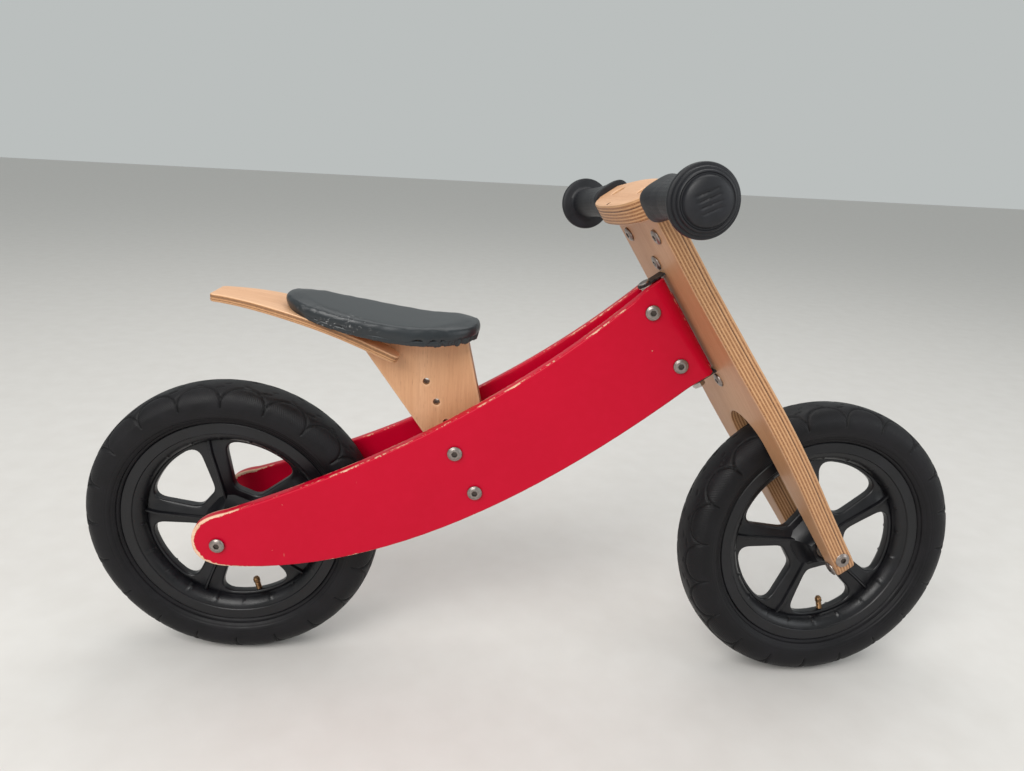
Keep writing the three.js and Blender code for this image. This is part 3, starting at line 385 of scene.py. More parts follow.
def red_paint():
    """Satin red over birch.  The wood shows where the distance to the edge is less than a
    width that noise varies, most of all round the rear end, and in a few chips on the face."""
    red = Finish("red paint on plywood", Coat_Weight=0.05, Coat_Roughness=0.22,
                 Specular_IOR_Level=0.16)
    edge = red.node("Attribute", {"attribute_name": "edge"}, output=2)
    spot = red.place()
    x = red.node("SeparateXYZ", Vector=spot)
    rear = x.rises(REAR_AXLE[0] + 30, REAR_AXLE[0] - 18)
    patchy = red.noise(spot, 34, 3)
    ragged = red.noise(spot, 4.5, 5, 0.72)
    cut, level, _ = layers(red, PANEL / 2)
    reach = (patchy - 0.50) * 6 + (ragged - 0.5) * 6 + rear * 3.6
    line = (reach - edge).rises(0.0, 0.35)
    arris = abs(level).rises(PANEL / 2 - 3.2, PANEL / 2 - 1.2)
    bare = line * (1 - cut * (1 - arris * 0.85))
    groups = red.noise(spot, 60, 1).rises(0.5, 0.58)
    chips = red.noise(spot, 5.5, 4, 0.6).rises(0.765, 0.78) * groups
    thin = red.place((1.0, 1.0, 0.12), (0, 0.9, 0))
    scratch = red.noise(thin, 2.6, 2, 0.4).rises(0.80, 0.82) * 0.35
    bare = bare.math("MAXIMUM", bare, chips.math("MAXIMUM", chips, scratch))
    depth = red.mix(red.noise(spot, 90, 2), shade(182, 0, 36), shade(194, 0, 42))
    faded = red.mix(red.noise(spot, 9, 3).rises(0.45, 0.8) * 0.25, depth, shade(198, 8, 50))
    drawn = red.noise(red.place((0.15, 1, 1)), 3, 4)
    wood = red.mix(drawn, shade(238, 208, 184), shade(210, 160, 122))
    dirt = red.mix(ragged.rises(0.55, 0.7) * 0.5, wood, shade(150, 96, 62))
    red.set(Base_Color=red.mix(bare, faded, dirt),
            Roughness=0.33 + bare * 0.35 + red.noise(spot, 14, 3) * 0.09)
    grain = red.noise(red.place((0.03, 0.5, 0.5), (0, -0.45, 0)), 1.2, 3)
    red.bump((1 - bare) * 0.8 + grain * 0.2, 0.22)
    return red.material


def on_panel(ahead, along):
    """Forward and up from the rear axle, for a place ahead of the steering axis and along it."""
    return (HEAD + AHEAD * ahead + UP * along - REAR_AXLE)[[0, 2]]


def panel(side):
    """Places the board of one side.  The flat board is turned in towards the head, and its nose
    is kept inside the half round and, behind NOSE_ARC, inside the straight line that touches it."""
    c, s = np.cos(CONVERGE), side * np.sin(CONVERGE)

    def place(u, v, w):
        y = side * (AXLE_SPAN - PANEL / 2)
        x, y = u * c + w * s, y - u * s + w * c
        ahead = (x + REAR_AXLE[0] - HEAD[0]) * AHEAD[0] + (v + REAR_AXLE[2] - HEAD[2]) * AHEAD[2]
        round_part = np.sqrt(np.clip(NOSE ** 2 - ahead ** 2, 0, None))
        touch = NOSE * np.cos(NOSE_ARC)
        straight = NOSE * np.sin(NOSE_ARC) + (touch - ahead) / np.tan(NOSE_ARC)
        most = np.where(ahead > touch, round_part, straight)
        return np.stack([x, np.clip(y, -most, most), v], axis=1) + REAR_AXLE

    return place


def hand_over(piece, body, node):
    """Puts the piece on its body and hides the node it stands for."""
    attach(piece, body)
    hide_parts(node)


paint = red_paint()
low = on_panel(NOSE + 1, NOSE_ENDS[0] - 1)
top = on_panel(NOSE + 1, NOSE_ENDS[1] + NOSE_RIM)
flat_end = on_panel(-NOSE_FLAT, NOSE_ENDS[0] - 0.2)
crest = np.array([(330, 190), (200, 100), (9.02, 34.24)])
outline = finer(np.concatenate([
    low[None],
    bezier(top, *crest),
    bezier(crest[2], (-12, 30), (-25, 22), (-25, 4), count=12),
    bezier((-25, 4), (-25, -14), (-11, -23), (8, -24), count=12),
    bezier((8, -24), (140, -34), (292, 32), flat_end),
    flat_end[None],
]), 5)
# the head end is trimmed to the ends of the nose and to its blunt tip
flat = np.column_stack([outline[:, 0], np.zeros(len(outline)), outline[:, 1]]) + REAR_AXLE - HEAD
ahead, along = flat @ AHEAD, flat @ UP
trimmed = np.where(ahead > 1 - NOSE_FLAT, np.clip(along, *NOSE_ENDS), along)
tip = np.sqrt(NOSE ** 2 - NOSE_TIP_HALF ** 2)
flat = flat + np.outer(np.minimum(ahead, tip) - ahead, AHEAD) + np.outer(trimmed - along, UP)
outline = (flat + HEAD - REAR_AXLE)[:, [0, 2]]
for side, node in ((-1, "right_panel"), (1, "left_panel")):
    piece = board(node + "_board", outline, PANEL / 2, 1.8, panel(side), paint, step=3.6)
    hand_over(piece, "frame", node)

# ---- seat post, tail board, saddle board and the blocks between the panels --------------
# The post is 18 mm birch plywood with a row of six holes; the tail board is thin plywood
# bent to a shallow curve and slotted round the post.  All of it is clear-varnished.


def birch(name, half, grain, tint=0.0, sheet=2.3):
    """Varnished birch, its grain along axis 0 or 1 of the board, darker by tint.  The face is
    noise drawn out along the grain, with short dark pores; the cut edge is stripes across the
    board, every other one speckled end grain."""
    wood = Finish(name, Coat_Weight=0.18, Coat_Roughness=0.3, Specular_IOR_Level=0.35)
    cut, level, stripes = layers(wood, half, sheet)

    def drawn(along, across, size, *noise):
        scale = [along if k == grain else across for k in range(3)]
        return wood.noise(wood.place(scale, attribute="board"), size, *noise)

    fine = drawn(0.045, 1.0, 1.6, 4, 0.62)
    broad = drawn(0.012, 0.35, 12, 3, 0.5, 0.6)
    pores = drawn(0.12, 1.5, 1.1, 2).rises(0.64, 0.72)
    flecks = drawn(1, 1, 7, 5, 0.7).rises(0.69, 0.73)
    speckle = drawn(1, 1, 1.3, 3, 0.7)
    tints = [shade(*(tone - 10 * tint for tone in tones)) for tones in ((190, 140, 100), (208, 162, 124))]
    face = wood.mix(broad.rises(0.3, 0.7), *tints)
    face = wood.mix(fine.rises(0.35, 0.7) * 0.35, face, shade(172, 120, 82))
    face = wood.mix(pores * 0.30, face, shade(122, 78, 50))
    face = wood.mix(flecks * 0.55, face, shade(112, 70, 46))
    pale = wood.mix(fine.rises(0.3, 0.7), shade(204, 158, 116), shade(186, 138, 96))
    dark = wood.mix(speckle.rises(0.35, 0.65), shade(176, 126, 84), shade(128, 84, 54))
    glue = stripes.rises(0.40, 0.50) * stripes.rises(0.62, 0.52)
    side = wood.mix(stripes.rises(0.42, 0.58), pale, dark)
    side = wood.mix(glue * 0.55, side, shade(92, 58, 38))
    dark_sheet = abs(level - half * 0.36).rises(0.55, 0.2)
    side = wood.mix(dark_sheet * 0.75, side, shade(56, 34, 24))
    edge = wood.node("Attribute", {"attribute_name": "edge"}, output=2)
    rubbed = edge.rises(2.6, 0.6) * (1 - cut) * 0.35
    wood.set(Base_Color=wood.mix(rubbed, wood.mix(cut, face, side), shade(222, 186, 150)),
             Roughness=0.42 + fine * 0.16 + cut * 0.14)
    wood.bump((1 - pores * 0.5) * 0.5 + fine * 0.2 + speckle * cut * 0.4, 0.25)
    return wood.material


SADDLE_MIDDLE, SADDLE_LONG, SADDLE_WIDE = 156, 93, 47
DISH_MIDDLE, DISH_LOW, DISH_RISE = 198, 357.5, 26
GAP = 0.3                       # left between pieces that lie on each other


def saddle_under(x):
    """Height above the axle of the dished underside of the saddle, x ahead of the rear axle: the
    distance from the middle of the dish to the power 1.6, less steep towards the front."""
    u = (x - DISH_MIDDLE) / (SADDLE_LONG * 1.45)
    return DISH_LOW + DISH_RISE * np.abs(u) ** 1.6 * np.where(u < 0, 1, 0.8) - WHEEL_RADIUS


def circle(centre, radius, count=16):
    """A closed ring of count points."""
    turn = np.arange(count) * 2 * np.pi / count
    return np.column_stack([centre[0] + radius * np.cos(turn), centre[1] + radius * np.sin(turn)])


def on_frame(u, v, w):
    """A board that stands in the middle plane: u forward, v up, w to the right."""
    return np.stack([u, -w, v], axis=1) + REAR_AXLE


POST_HALF, POST_FRONT, POST_REAR = 9, 236, 122
HOLE_PITCH, HOLE_RADIUS, POST_LEAN = 23.45, 3.4, np.radians(63.65)
foot = np.array([249.5, 206.5 - WHEEL_RADIUS])      # the lowest hole
hole_step = HOLE_PITCH * np.array([-np.cos(POST_LEAN), np.sin(POST_LEAN)])
upper = np.arange(POST_FRONT, POST_REAR - 1, -6)
post_outline = np.concatenate([
    [foot + (20, -12), (252, 289 - WHEEL_RADIUS)],
    np.column_stack([upper, saddle_under(upper) - GAP]),
    bezier((POST_REAR, saddle_under(POST_REAR)), (130, 201), (142, 184), (152, 170), count=8),
    [foot + (-26, 10)],
    bezier(foot + (-26, 10), foot + (-18, -18), foot + (-6, -20), foot + (6, -20), count=8)[1:],
    bezier(foot + (6, -20), foot + (14, -20), foot + (19, -17), foot + (20, -12), count=5),
])
open_holes = [circle(foot + hole_step * k, HOLE_RADIUS) for k in (1, 3, 4, 5)]
varnished = birch("varnished birch, seat post", POST_HALF, 1, -0.9)
post = board("seat_post", post_outline, POST_HALF, 0.9, on_frame, varnished, open_holes, step=3.5)
hand_over(post, "frame", "seat_plate")

TAIL_HALF, TAIL_LENGTH = 3.75, 186
tail_line = np.array([(-5, 384.5), (80, 381), (170, 333)]) - (0, WHEEL_RADIUS)


def on_tail(u, v, w):
    """A point u along the bent line, a quadratic Bezier curve, v to the left, w above the
    middle of the board that lies on it."""
    t = (u / TAIL_LENGTH)[:, None]
    line = tail_line[0] * (1 - t) ** 2 + 2 * tail_line[1] * t * (1 - t) + tail_line[2] * t ** 2
    slope = 2 * (tail_line[1] - tail_line[0]) * (1 - t) + 2 * (tail_line[2] - tail_line[1]) * t
    slope /= np.linalg.norm(slope, axis=1, keepdims=True)
    line = line + np.column_stack([-slope[:, 1], slope[:, 0]]) * (w[:, None] + TAIL_HALF + 0.05)
    return np.stack([line[:, 0], v, line[:, 1]], axis=1) + REAR_AXLE


half_tail = np.concatenate([
    [(0, -17)],
    bezier((3, -20), (30, -25), (60, -35), (100, -35), count=12),
    bezier((100, -35), (150, -35), (182, -33), (184, -28), count=10),
    bezier((184, -28), (187, -20), (186, -12), (178, -9.4), count=6),
    [(178, -9.4), (147, -9.4)],
])
tail_outline = np.concatenate([half_tail, half_tail[::-1] * (1, -1)])
tail = board("bent_tail_board", tail_outline, TAIL_HALF, 1.0, on_tail,
             birch("varnished birch, tail", TAIL_HALF, 0, -2.0, 0.9), step=3.5)
hand_over(tail, "frame", "tail_board")


def on_saddle(u, v, w):
    """The saddle board: its plan laid on the dished underside of the saddle."""
    return np.stack([u, v, saddle_under(u) + 2.5 + w], axis=1) + REAR_AXLE


def saddle_plan(inset, count=96):
    """The saddle seen from above: a rounded oval, x and y to the power 0.8 of cosine and sine."""
    turn = np.arange(count) * 2 * np.pi / count
    oval = np.column_stack([np.cos(turn), np.sin(turn)])
    oval = np.sign(oval) * np.abs(oval) ** 0.8
    return (SADDLE_MIDDLE, 0) + (SADDLE_LONG - inset, SADDLE_WIDE - inset) * oval


saddle_base = board("saddle_base", saddle_plan(4), 2.45, 0.8, on_saddle,
                    birch("varnished birch, saddle", 2.5, 0, 0.6, 1.2))
hand_over(saddle_base, "frame", "saddle_board")


def coat(material, *nodes):
    """Gives a material to nodes that keep the shape they were cut to."""
    for node in nodes:
        materials = frame["nodes"][node].data.materials
        materials.clear()
        materials.append(material)


block_wood = Finish("birch blocks", Roughness=0.55)
block_grain = block_wood.noise(block_wood.place((0.08, 1, 1), (0, 0.5, 0)), 2.5, 4)
block_layer = block_wood.node("SeparateXYZ", Vector=block_wood.place(), output=1).wave(3.0)
block_face = block_wood.mix(block_grain, shade(226, 178, 126), shade(200, 148, 98))
block_dark = block_layer.rises(0.5, 0.7) * 0.4
block_wood.set(Base_Color=block_wood.mix(block_dark, block_face, shade(166, 112, 68)))
block_wood.bump(block_grain, 0.2)
coat(paint, "head_block")
coat(block_wood.material, "seat_spacer_right", "seat_spacer_left")

# ---- fork board and handlebar board ----------------------------------------------------
# The fork is 20 mm birch plywood with a slot for the wheel; the handlebar is 21 mm plywood
# laid across its top edge and bolted down into two barrel nuts.  Arrises well rounded.
STEER_AT_REST = np.radians(9.7)
steer_ahead = AHEAD * np.cos(STEER_AT_REST) + np.cross(UP, AHEAD) * np.sin(STEER_AT_REST)
steer_left = np.cross(UP, steer_ahead)
FORK_BACK = NOSE + 1.2
FORK_HALF = 10
FORK_MIDDLE = FORK_BACK + FORK_HALF
FORK_TOP = 402.2


def steered(ahead, left, up):
    """A point of the turned front: ahead of the steering axis, to its left and up along it."""
    return HEAD + np.outer(ahead, steer_ahead) + np.outer(left, steer_left) + np.outer(up, UP)


def through(points, count=10):
    """A Catmull-Rom curve through points, without the last."""
    p = np.array(points, float)
    p = np.concatenate([p[:1], p, p[-1:]])
    t = (np.arange(count) / count)[:, None]
    parts = []
    for a, b, c, d in zip(p, p[1:], p[2:], p[3:]):
        parts.append(b + (c - a) * t / 2 + (a - 2.5 * b + 2 * c - d / 2) * t ** 2
                     + (1.5 * (b - c) + (d - a) / 2) * t ** 3)
    return np.concatenate(parts)


side_line = [(62, 320), (69, 245), (76, 180), (74, 120), (65, 60), (58, 10)]
SLOT, SLOT_TOP, FORK_FOOT = 32, 173, -20
arch = np.radians(np.arange(0, 91, 9))
half_fork = np.concatenate([
    bezier((50, FORK_TOP), (58, FORK_TOP), (61, FORK_TOP - 1), (62, FORK_TOP - 6), count=4),
    through(side_line),
    bezier(side_line[-1], (57, -8), (55, -20), (46, FORK_FOOT), count=6),
    bezier((SLOT + 5, FORK_FOOT), (SLOT + 2, FORK_FOOT), (SLOT, FORK_FOOT + 2),
           (SLOT, FORK_FOOT + 5), count=4),
    np.column_stack([SLOT * np.cos(arch), SLOT_TOP - SLOT + SLOT * np.sin(arch)]),
])
fork_outline = np.concatenate([half_fork, (half_fork * (-1, 1))[::-1][1:]])
fork = board("fork", fork_outline, FORK_HALF, 2.0,
             lambda u, v, w: steered(FORK_MIDDLE + w, u, v),
             birch("varnished birch, fork", FORK_HALF, 1, 0.8, 1.55), step=4)
hand_over(fork, "steering", "fork_board")

BAR_HALF, BAR_BOLT = 10.5, 39
BAR_MIDDLE = FORK_TOP + GAP + BAR_HALF
half_bar = np.concatenate([
    bezier((1.7, 0), (1.7, -30), (4, -56), (14, -66), count=14),
    bezier((14, -66), (17, -69), (18, -71), (19, -78), count=5),
    [(19, -78), (42, -78)],
    bezier((42, -76), (43, -66), (51.2, -38), (51.2, 0), count=14),
])
bar_outline = np.concatenate([half_bar, (half_bar * (1, -1))[::-1]])
bar_holes = [circle((FORK_MIDDLE, side * BAR_BOLT), 6.7, 24) for side in (-1, 1)]
bar = board("handlebar", bar_outline, BAR_HALF, 2.2,
            lambda u, v, w: steered(u, v, BAR_MIDDLE + w),
            birch("varnished birch, handlebar", BAR_HALF, 1, -1.6, 1.6), bar_holes, step=3)
hand_over(bar, "steering", "handlebar_board")

# ---- grips -----------------------------------------------------------------------------
# Black rubber grips pushed over the ends of the board: an oval root over the wood, a handle
# with rows of small dots, and a round safety flange stepped in rings, with a domed end.
GRIP_START, GRIP_SWEEP, BAR_SPAN = 72, 7, 176
GRIP_COUNT, GROOVES = 112, 4


def rubber(name, dark, light, roughness, bump_size, bump_depth, dots=False):
    """Black rubber or plastic: a dark tone with paler, dustier patches and a fine grain."""
    black = Finish(name, Specular_IOR_Level=0.4)
    spot = black.place()
    dust = black.noise(spot, 30, 5, 0.65).rises(0.45, 0.75)
    fine = black.noise(spot, bump_size, 3, 0.6)
    black.set(Base_Color=black.mix(dust * 0.55, dark, light), Roughness=roughness + dust * 0.16)
    height = fine
    if dots:
        along, around = [black.node("SeparateXYZ", Vector=black.place(attribute="board"), output=k)
                         for k in (0, 1)]
        row = along.wave(2.4) * around.wave(4.0).rises(0.35, 0.8)
        height = fine * 0.12 + row.rises(0.35, 0.75) * along.rises(14, 20) * along.rises(90, 84)
    black.bump(height, bump_depth)
    return black.material


grip_rubber = rubber("grip rubber", shade(17, 18, 23), shade(38, 38, 45), 0.46, 0.8, 0.5, dots=True)
sweep = np.arctan(GRIP_SWEEP / (BAR_SPAN - GRIP_START))
length = (BAR_SPAN - GRIP_START) / np.cos(sweep)
# the handle by distance along it, half width ahead, half height and squareness
handle = np.array([
    (0, 8, 8, 2), (0, 19, 15.5, 3.2), (0.4, 19.9, 16.3, 3.2), (1.6, 20.4, 16.8, 3.2),
    (5, 20.4, 16.8, 3.1), (11, 19.8, 16.2, 2.9), (20, 18.2, 15.3, 2.6), (34, 16.6, 15, 2.3),
    (60, 15.8, 15, 2.1), (84, 15.8, 15.2, 2), (90, 16.4, 16, 2),
])
# the round flange by distance and radius: a step up, three steps down, and a domed end
flange = np.array([
    (92.5, 18.5), (93.6, 25.5), (94.3, 27.2), (95.6, 27.9), (97.4, 27.9), (98.8, 27.3), (99.3, 26.2),
    (99.5, 25.2), (101, 24.9), (102.2, 24.3), (102.5, 23.4), (102.6, 22.6), (104, 22.3), (105.3, 21.7),
    (105.7, 20.8), (105.2, 20), (105.4, 19.2), (107.2, 18.4),
])
FLANGE_MIDDLE, DOME_FOOT, DOME_RISE, DOME_RADIUS = 104, 107.6, 4.4, 18.2
dome = np.radians(np.arange(8, 91, 3.5))
dome_rows = np.column_stack([DOME_FOOT + DOME_RISE * np.sin(dome), DOME_RADIUS * np.cos(dome)])
round_rows = np.concatenate([flange, dome_rows])
round_rows = np.column_stack([round_rows, round_rows[:, 1], np.full(len(round_rows), 2)])


def rows_between(rows, most=1.6):
    """The same rows with straight in-between rows, so that none is more than most apart."""
    pieces = []
    for start, end in zip(rows, rows[1:]):
        count = max(1, int(np.ceil(np.abs(end - start)[:3].max() / most)))
        pieces.append(start + (end - start) * np.arange(count)[:, None] / count)
    return np.concatenate([*pieces, rows[-1:]])


def sleeve_faces(rows, count):
    """Quads between rows of count points, each row closed on itself."""
    row, spot = np.meshgrid(np.arange(rows - 1), np.arange(count), indexing="ij")
    after = (spot + 1) % count
    return np.stack([row * count + spot, row * count + after, (row + 1) * count + after,
                     (row + 1) * count + spot], axis=-1).reshape(-1, 4)


def end_fans(rows, count):
    """Two centre points are added after the rows; triangles join them to the end rows."""
    spot = np.arange(count)
    after = (spot + 1) % count
    end = rows * count
    low = np.stack([np.full(count, end), after, spot], axis=1)
    high = np.stack([np.full(count, end + 1), end - count + spot, end - count + after], axis=1)
    return np.concatenate([low, high])


for side, name in ((-1, "right"), (1, "left")):
    rows = rows_between(np.concatenate([handle, round_rows]))
    turn = np.arange(GRIP_COUNT) * 2 * np.pi / GRIP_COUNT
    along, wide, high, square = [rows[:, k, None] for k in range(4)]
    c, s = np.cos(turn), np.sin(turn)
    reach = (np.abs(c) ** square + np.abs(s) ** square) ** (-1 / square)
    x, z = wide * reach * c, high * reach * s
    y = along * length / FLANGE_MIDDLE + 0 * x
    # parallel grooves pressed into the domed end, each a little aside from the last
    for k in range(GROOVES):
        row = k - (GROOVES - 1) / 2
        off = (z - row * 4.6 + x * 0.14) / 0.85
        across = (x - row * 0.9) / 8.5
        y = y - np.exp(-off ** 2 - across ** 8) * (along > DOME_FOOT - 0.3)
    around = turn * 17 + 0 * x
    x, y, z, around = [np.concatenate([v.ravel(), [v[0].mean(), v[-1].mean()]])
                       for v in (x, y, z, around)]
    y[-2], x[-2:], z[-2:] = 0.0, 0.0, 0.0
    ahead = FORK_MIDDLE + 1.5 + x * np.cos(sweep) - y * np.sin(sweep)
    left = side * (GRIP_START + y * np.cos(sweep) + x * np.sin(sweep))
    grip = build(name + "_grip", steered(ahead, left, BAR_MIDDLE + z),
                 [sleeve_faces(len(rows), GRIP_COUNT), end_fans(len(rows), GRIP_COUNT)], grip_rubber,
                 {"board": np.stack([y, around, 0 * y], axis=1) / 1000})
    hand_over(grip, "steering", "grip_" + name)

# ---- tyres -----------------------------------------------------------------------------
# Two black rubber tyres, moulded with a row of arched grooves on each shoulder, short dashes
# between them, and fine rings on the side wall near the rim.
TYRE_ARCHES, ARCH_STEPS, TYRE_RADIUS = 20, 36, 150
# half profiles, from the rim to the crown: radius, and distance from the middle
TYRE_HALF = [(112.3, 17), (114, 19.2), (121, 24.4), (130, 26), (139, 23.9), (145.5, 18.5),
             (149, 10.4), (TYRE_RADIUS, 0)]
ARCH_FOOT, ARCH_HEIGHT = 32, 20
# share of an arch, distance from the crown, slope and half length
DASHES = [(0.07, 12.5, 0.18, 4.6), (0.5, 8.5, -0.3, 3.2), (0.93, 5.5, 0.2, 3.0)]
TYRE_INSIDE = [(112.3, 14.9), (103.3, 14.9), (103.3, 10.9), (110, 11.9), (122, 21.9), (132, 22.4),
               (144.4, 13), (146.4, 0)]
FRONT_AXLE = np.array(joints["front_wheel_spin"]["pos_m"]) * 1000
# each wheel's axle, its directions ahead, up and left, and the turn of its first spoke
wheels = {"rear": (REAR_AXLE, *np.array([(1.0, 0, 0), (0, 0, 1.0), (0, 1.0, 0)]), np.radians(31)),
          "front": (FRONT_AXLE, steer_ahead, UP, steer_left, np.radians(-2))}


def on_wheel(wheel, radius, turn, across):
    """A point of a wheel: its radius, its angle from straight ahead upwards, and the distance
    to the left of the wheel's middle."""
    centre, ahead, up, left, _ = wheels[wheel]
    radius, turn, across = [v.ravel() for v in np.broadcast_arrays(radius, turn, across)]
    return (centre + np.outer(radius * np.cos(turn), ahead) + np.outer(radius * np.sin(turn), up)
            + np.outer(across, left))


def hoop_faces(rows, count):
    """Quads of a closed profile of rows points carried once round in count steps."""
    row, spot = np.meshgrid(np.arange(rows), np.arange(count), indexing="ij")
    after, beside = (row + 1) % rows, (spot + 1) % count
    return np.stack([row * count + spot, row * count + beside, after * count + beside,
                     after * count + spot], axis=-1).reshape(-1, 4)


def there_and_back(half):
    """A whole profile from its half, which ends in the middle."""
    return np.array(half + [(radius, -across) for radius, across in half[-2::-1]])


def tread(profile, turn):
    """How deep the tread is cut, 0 to 1, and how far each row is from the crown.  The arches are
    the upper halves of circles that stand side by side, their feet ARCH_FOOT from the crown; the
    other shoulder is half an arch on.  Each groove is exp(-(distance / half width) ** 2)."""
    step = np.diff(profile, axis=0)
    far = np.concatenate([[0], np.cumsum(np.hypot(*step.T))])
    far = (far - np.interp(0, -profile[:, 1], far))[:, None]
    share = (turn * TYRE_ARCHES / (2 * np.pi) + 0.5 * (far < 0)) % 1
    far = np.abs(far)
    pitch = 2 * np.pi * TYRE_RADIUS / TYRE_ARCHES
    ring = np.abs(np.hypot(2 * share - 1, (ARCH_FOOT - far) / ARCH_HEIGHT) - 1) * (ARCH_HEIGHT + 1)
    arches = np.exp(-(ring / 1.05) ** 2) * (far < ARCH_FOOT + 1)
    feet = np.exp(-(np.minimum(share, 1 - share) * 47) ** 2)
    arches = np.maximum(arches, feet * (far > ARCH_FOOT - 1) * (far < ARCH_FOOT + 4.5))
    dashes = 0
    for middle, height, slope, long in DASHES:
        aside = ((share - middle + 0.5) % 1 - 0.5) * pitch
        dashes = dashes + np.exp(-((far - height - slope * aside) / 0.9) ** 2 - (aside / long) ** 6)
    return np.clip(arches + 0.8 * dashes, 0, 1), far


tyre_rubber = Finish("tyre rubber", Specular_IOR_Level=0.24)
tyre_spot = tyre_rubber.place()
tyre_dust = tyre_rubber.noise(tyre_spot, 28, 5, 0.65).rises(0.42, 0.75)
tyre_grain = tyre_rubber.noise(tyre_spot, 1.1, 3, 0.6)
moulded = tyre_rubber.place(attribute="tread")
around, across = [tyre_rubber.node("SeparateXYZ", Vector=moulded, output=k) for k in (0, 1)]
ribbing = (around + across * 0.6).wave(2.1) * across.rises(33, 31) * across.rises(12, 17)
cut_in = tyre_rubber.node("Attribute", {"attribute_name": "groove"}, output=2)
tyre_colour = tyre_rubber.mix(tyre_dust * 0.6, shade(12, 11, 14), shade(31, 29, 33))
# the tread grooves are painted near black: painted shade in the recesses, not a colour of the rubber
tyre_rubber.set(Base_Color=tyre_rubber.mix(cut_in * 0.75, tyre_colour, shade(3, 3, 4)),
                Roughness=0.44 + tyre_dust * 0.26 + cut_in * 0.15)
fine_rings = across.wave(2.6) * across.rises(39, 42)
tyre_rubber.bump(tyre_grain * 0.35 + ribbing * 0.35 + fine_rings * 0.3, 0.35)

for wheel in wheels:
    outside = there_and_back(TYRE_HALF)
    outside = np.concatenate([through(outside, 7), outside[-1:]])
    turn = np.arange(TYRE_ARCHES * ARCH_STEPS) * 2 * np.pi / (TYRE_ARCHES * ARCH_STEPS)
    cut, far = tread(outside, turn)
    slope = np.gradient(outside, axis=0)
    slope /= np.linalg.norm(slope, axis=1, keepdims=True)
    rings = 0.5 * np.exp(-((far - 46) / 0.8) ** 2) + 0.4 * np.exp(-((far - 51.5) / 0.7) ** 2)
    rings = rings - 0.7 * np.exp(-((far - 54.5) / 0.7) ** 2)
    lift = rings - 1.35 * cut
    radius = outside[:, :1] - slope[:, 1:] * lift
    side = outside[:, 1:] + slope[:, :1] * lift
    inside = there_and_back(TYRE_INSIDE) * (1, -1)
    flat = np.ones(len(turn))
    radius = np.concatenate([radius, inside[:, :1] * flat])
    side = np.concatenate([side, inside[:, 1:] * flat])
    spare = np.zeros((len(inside), len(turn)))
    rows = np.concatenate([far, spare[:, :1]])
    position = np.stack(np.broadcast_arrays(turn * TYRE_RADIUS, rows, 0), axis=-1)
    tyre = build(wheel + "_tyre_moulded", on_wheel(wheel, radius, turn, side),
                 [hoop_faces(len(radius), len(turn))], tyre_rubber.material,
                 {"tread": position.reshape(-1, 3) / 1000,
                  "groove": np.concatenate([cut, spare]).ravel()})
    hand_over(tyre, wheel + "_wheel", wheel + "_tyre")

# ---- rims ------------------------------------------------------------------------------
# One black moulding per wheel: a channel for the tyre, a dished barrel with short ticks, and
# five wide spokes, each with a rib, that run into a five-sided boss round the bearings.
RIM_HALF = np.array([(98, 7), (103, 9.5), (103, 15.2), (112, 15.2), (112, 17.3), (111.2, 18), (101.4, 18),
                     (100.9, 17.6), (100.4, 16.6), (98.6, 16.2), (96, 14.8), (93.6, 12.4), (91.7, 9.6),
                     (90.6, 6.5), (90.1, 3)])
BOSS_HALF = np.array([(8.5, 21), (11.2, 21), (11.2, 28), (15.2, 28), (16.2, 27.2), (18, 22), (20.5, 15),
                      (26, 9.5), (30, 6)])
SPOKES, WEB_HALF, ROOF = 5, 5.2, 3.4
RIM_STEPS, RIB_ROWS, BOSS_STEPS = 360, 16, 100
rim_plastic = rubber("rim plastic", shade(9, 9, 13), shade(27, 26, 32), 0.32, 1.6, 0.12)


def bend(start, control, end, count=6):
    """A quadratic Bezier curve, with both ends."""
    t = np.linspace(0, 1, count)[:, None]
    a, b, c = [np.array(p, float) for p in (start, control, end)]
    return a * (1 - t) ** 2 + 2 * b * t * (1 - t) + c * t ** 2


def polar(radius, turn):
    """The point at that radius and turn."""
    return np.array([radius * np.cos(turn), radius * np.sin(turn)])


def toward(start, end, distance):
    """The point that distance from start on the way to end."""
    return start + (end - start) * distance / np.linalg.norm(end - start)


def opening(turn, outer=87, inner=37):
    """The opening between two spokes: half of it is an arc of the rim, a rounded corner, a side
    that leaves the spoke 28 mm wide at the rim and 20 at the hub, and a second rounded corner."""
    half = np.pi / SPOKES
    far, near = half - np.arcsin(14 / outer), half - np.arcsin(10 / inner)
    at_rim, at_hub = polar(outer, far), polar(inner, near)
    arc_end = far - 0.16
    upper = np.concatenate([
        polar(outer, np.arange(0, arc_end, 0.04)).T,
        bend(polar(outer, arc_end), at_rim, toward(at_rim, at_hub, 14), 8),
        bend(toward(at_hub, at_rim, 8), at_hub, toward(at_hub, at_hub * (1, -1), 6), 6),
    ])
    loop = np.concatenate([upper, (upper * (1, -1))[:0:-1]])
    c, s = np.cos(turn), np.sin(turn)
    return loop @ np.array([[c, s], [-s, c]])


def one_piece(pieces):
    """Joins meshes that are moulded or turned in one."""
    with bpy.context.temp_override(active_object=pieces[0], selected_editable_objects=pieces):
        bpy.ops.object.join()
    return pieces[0]


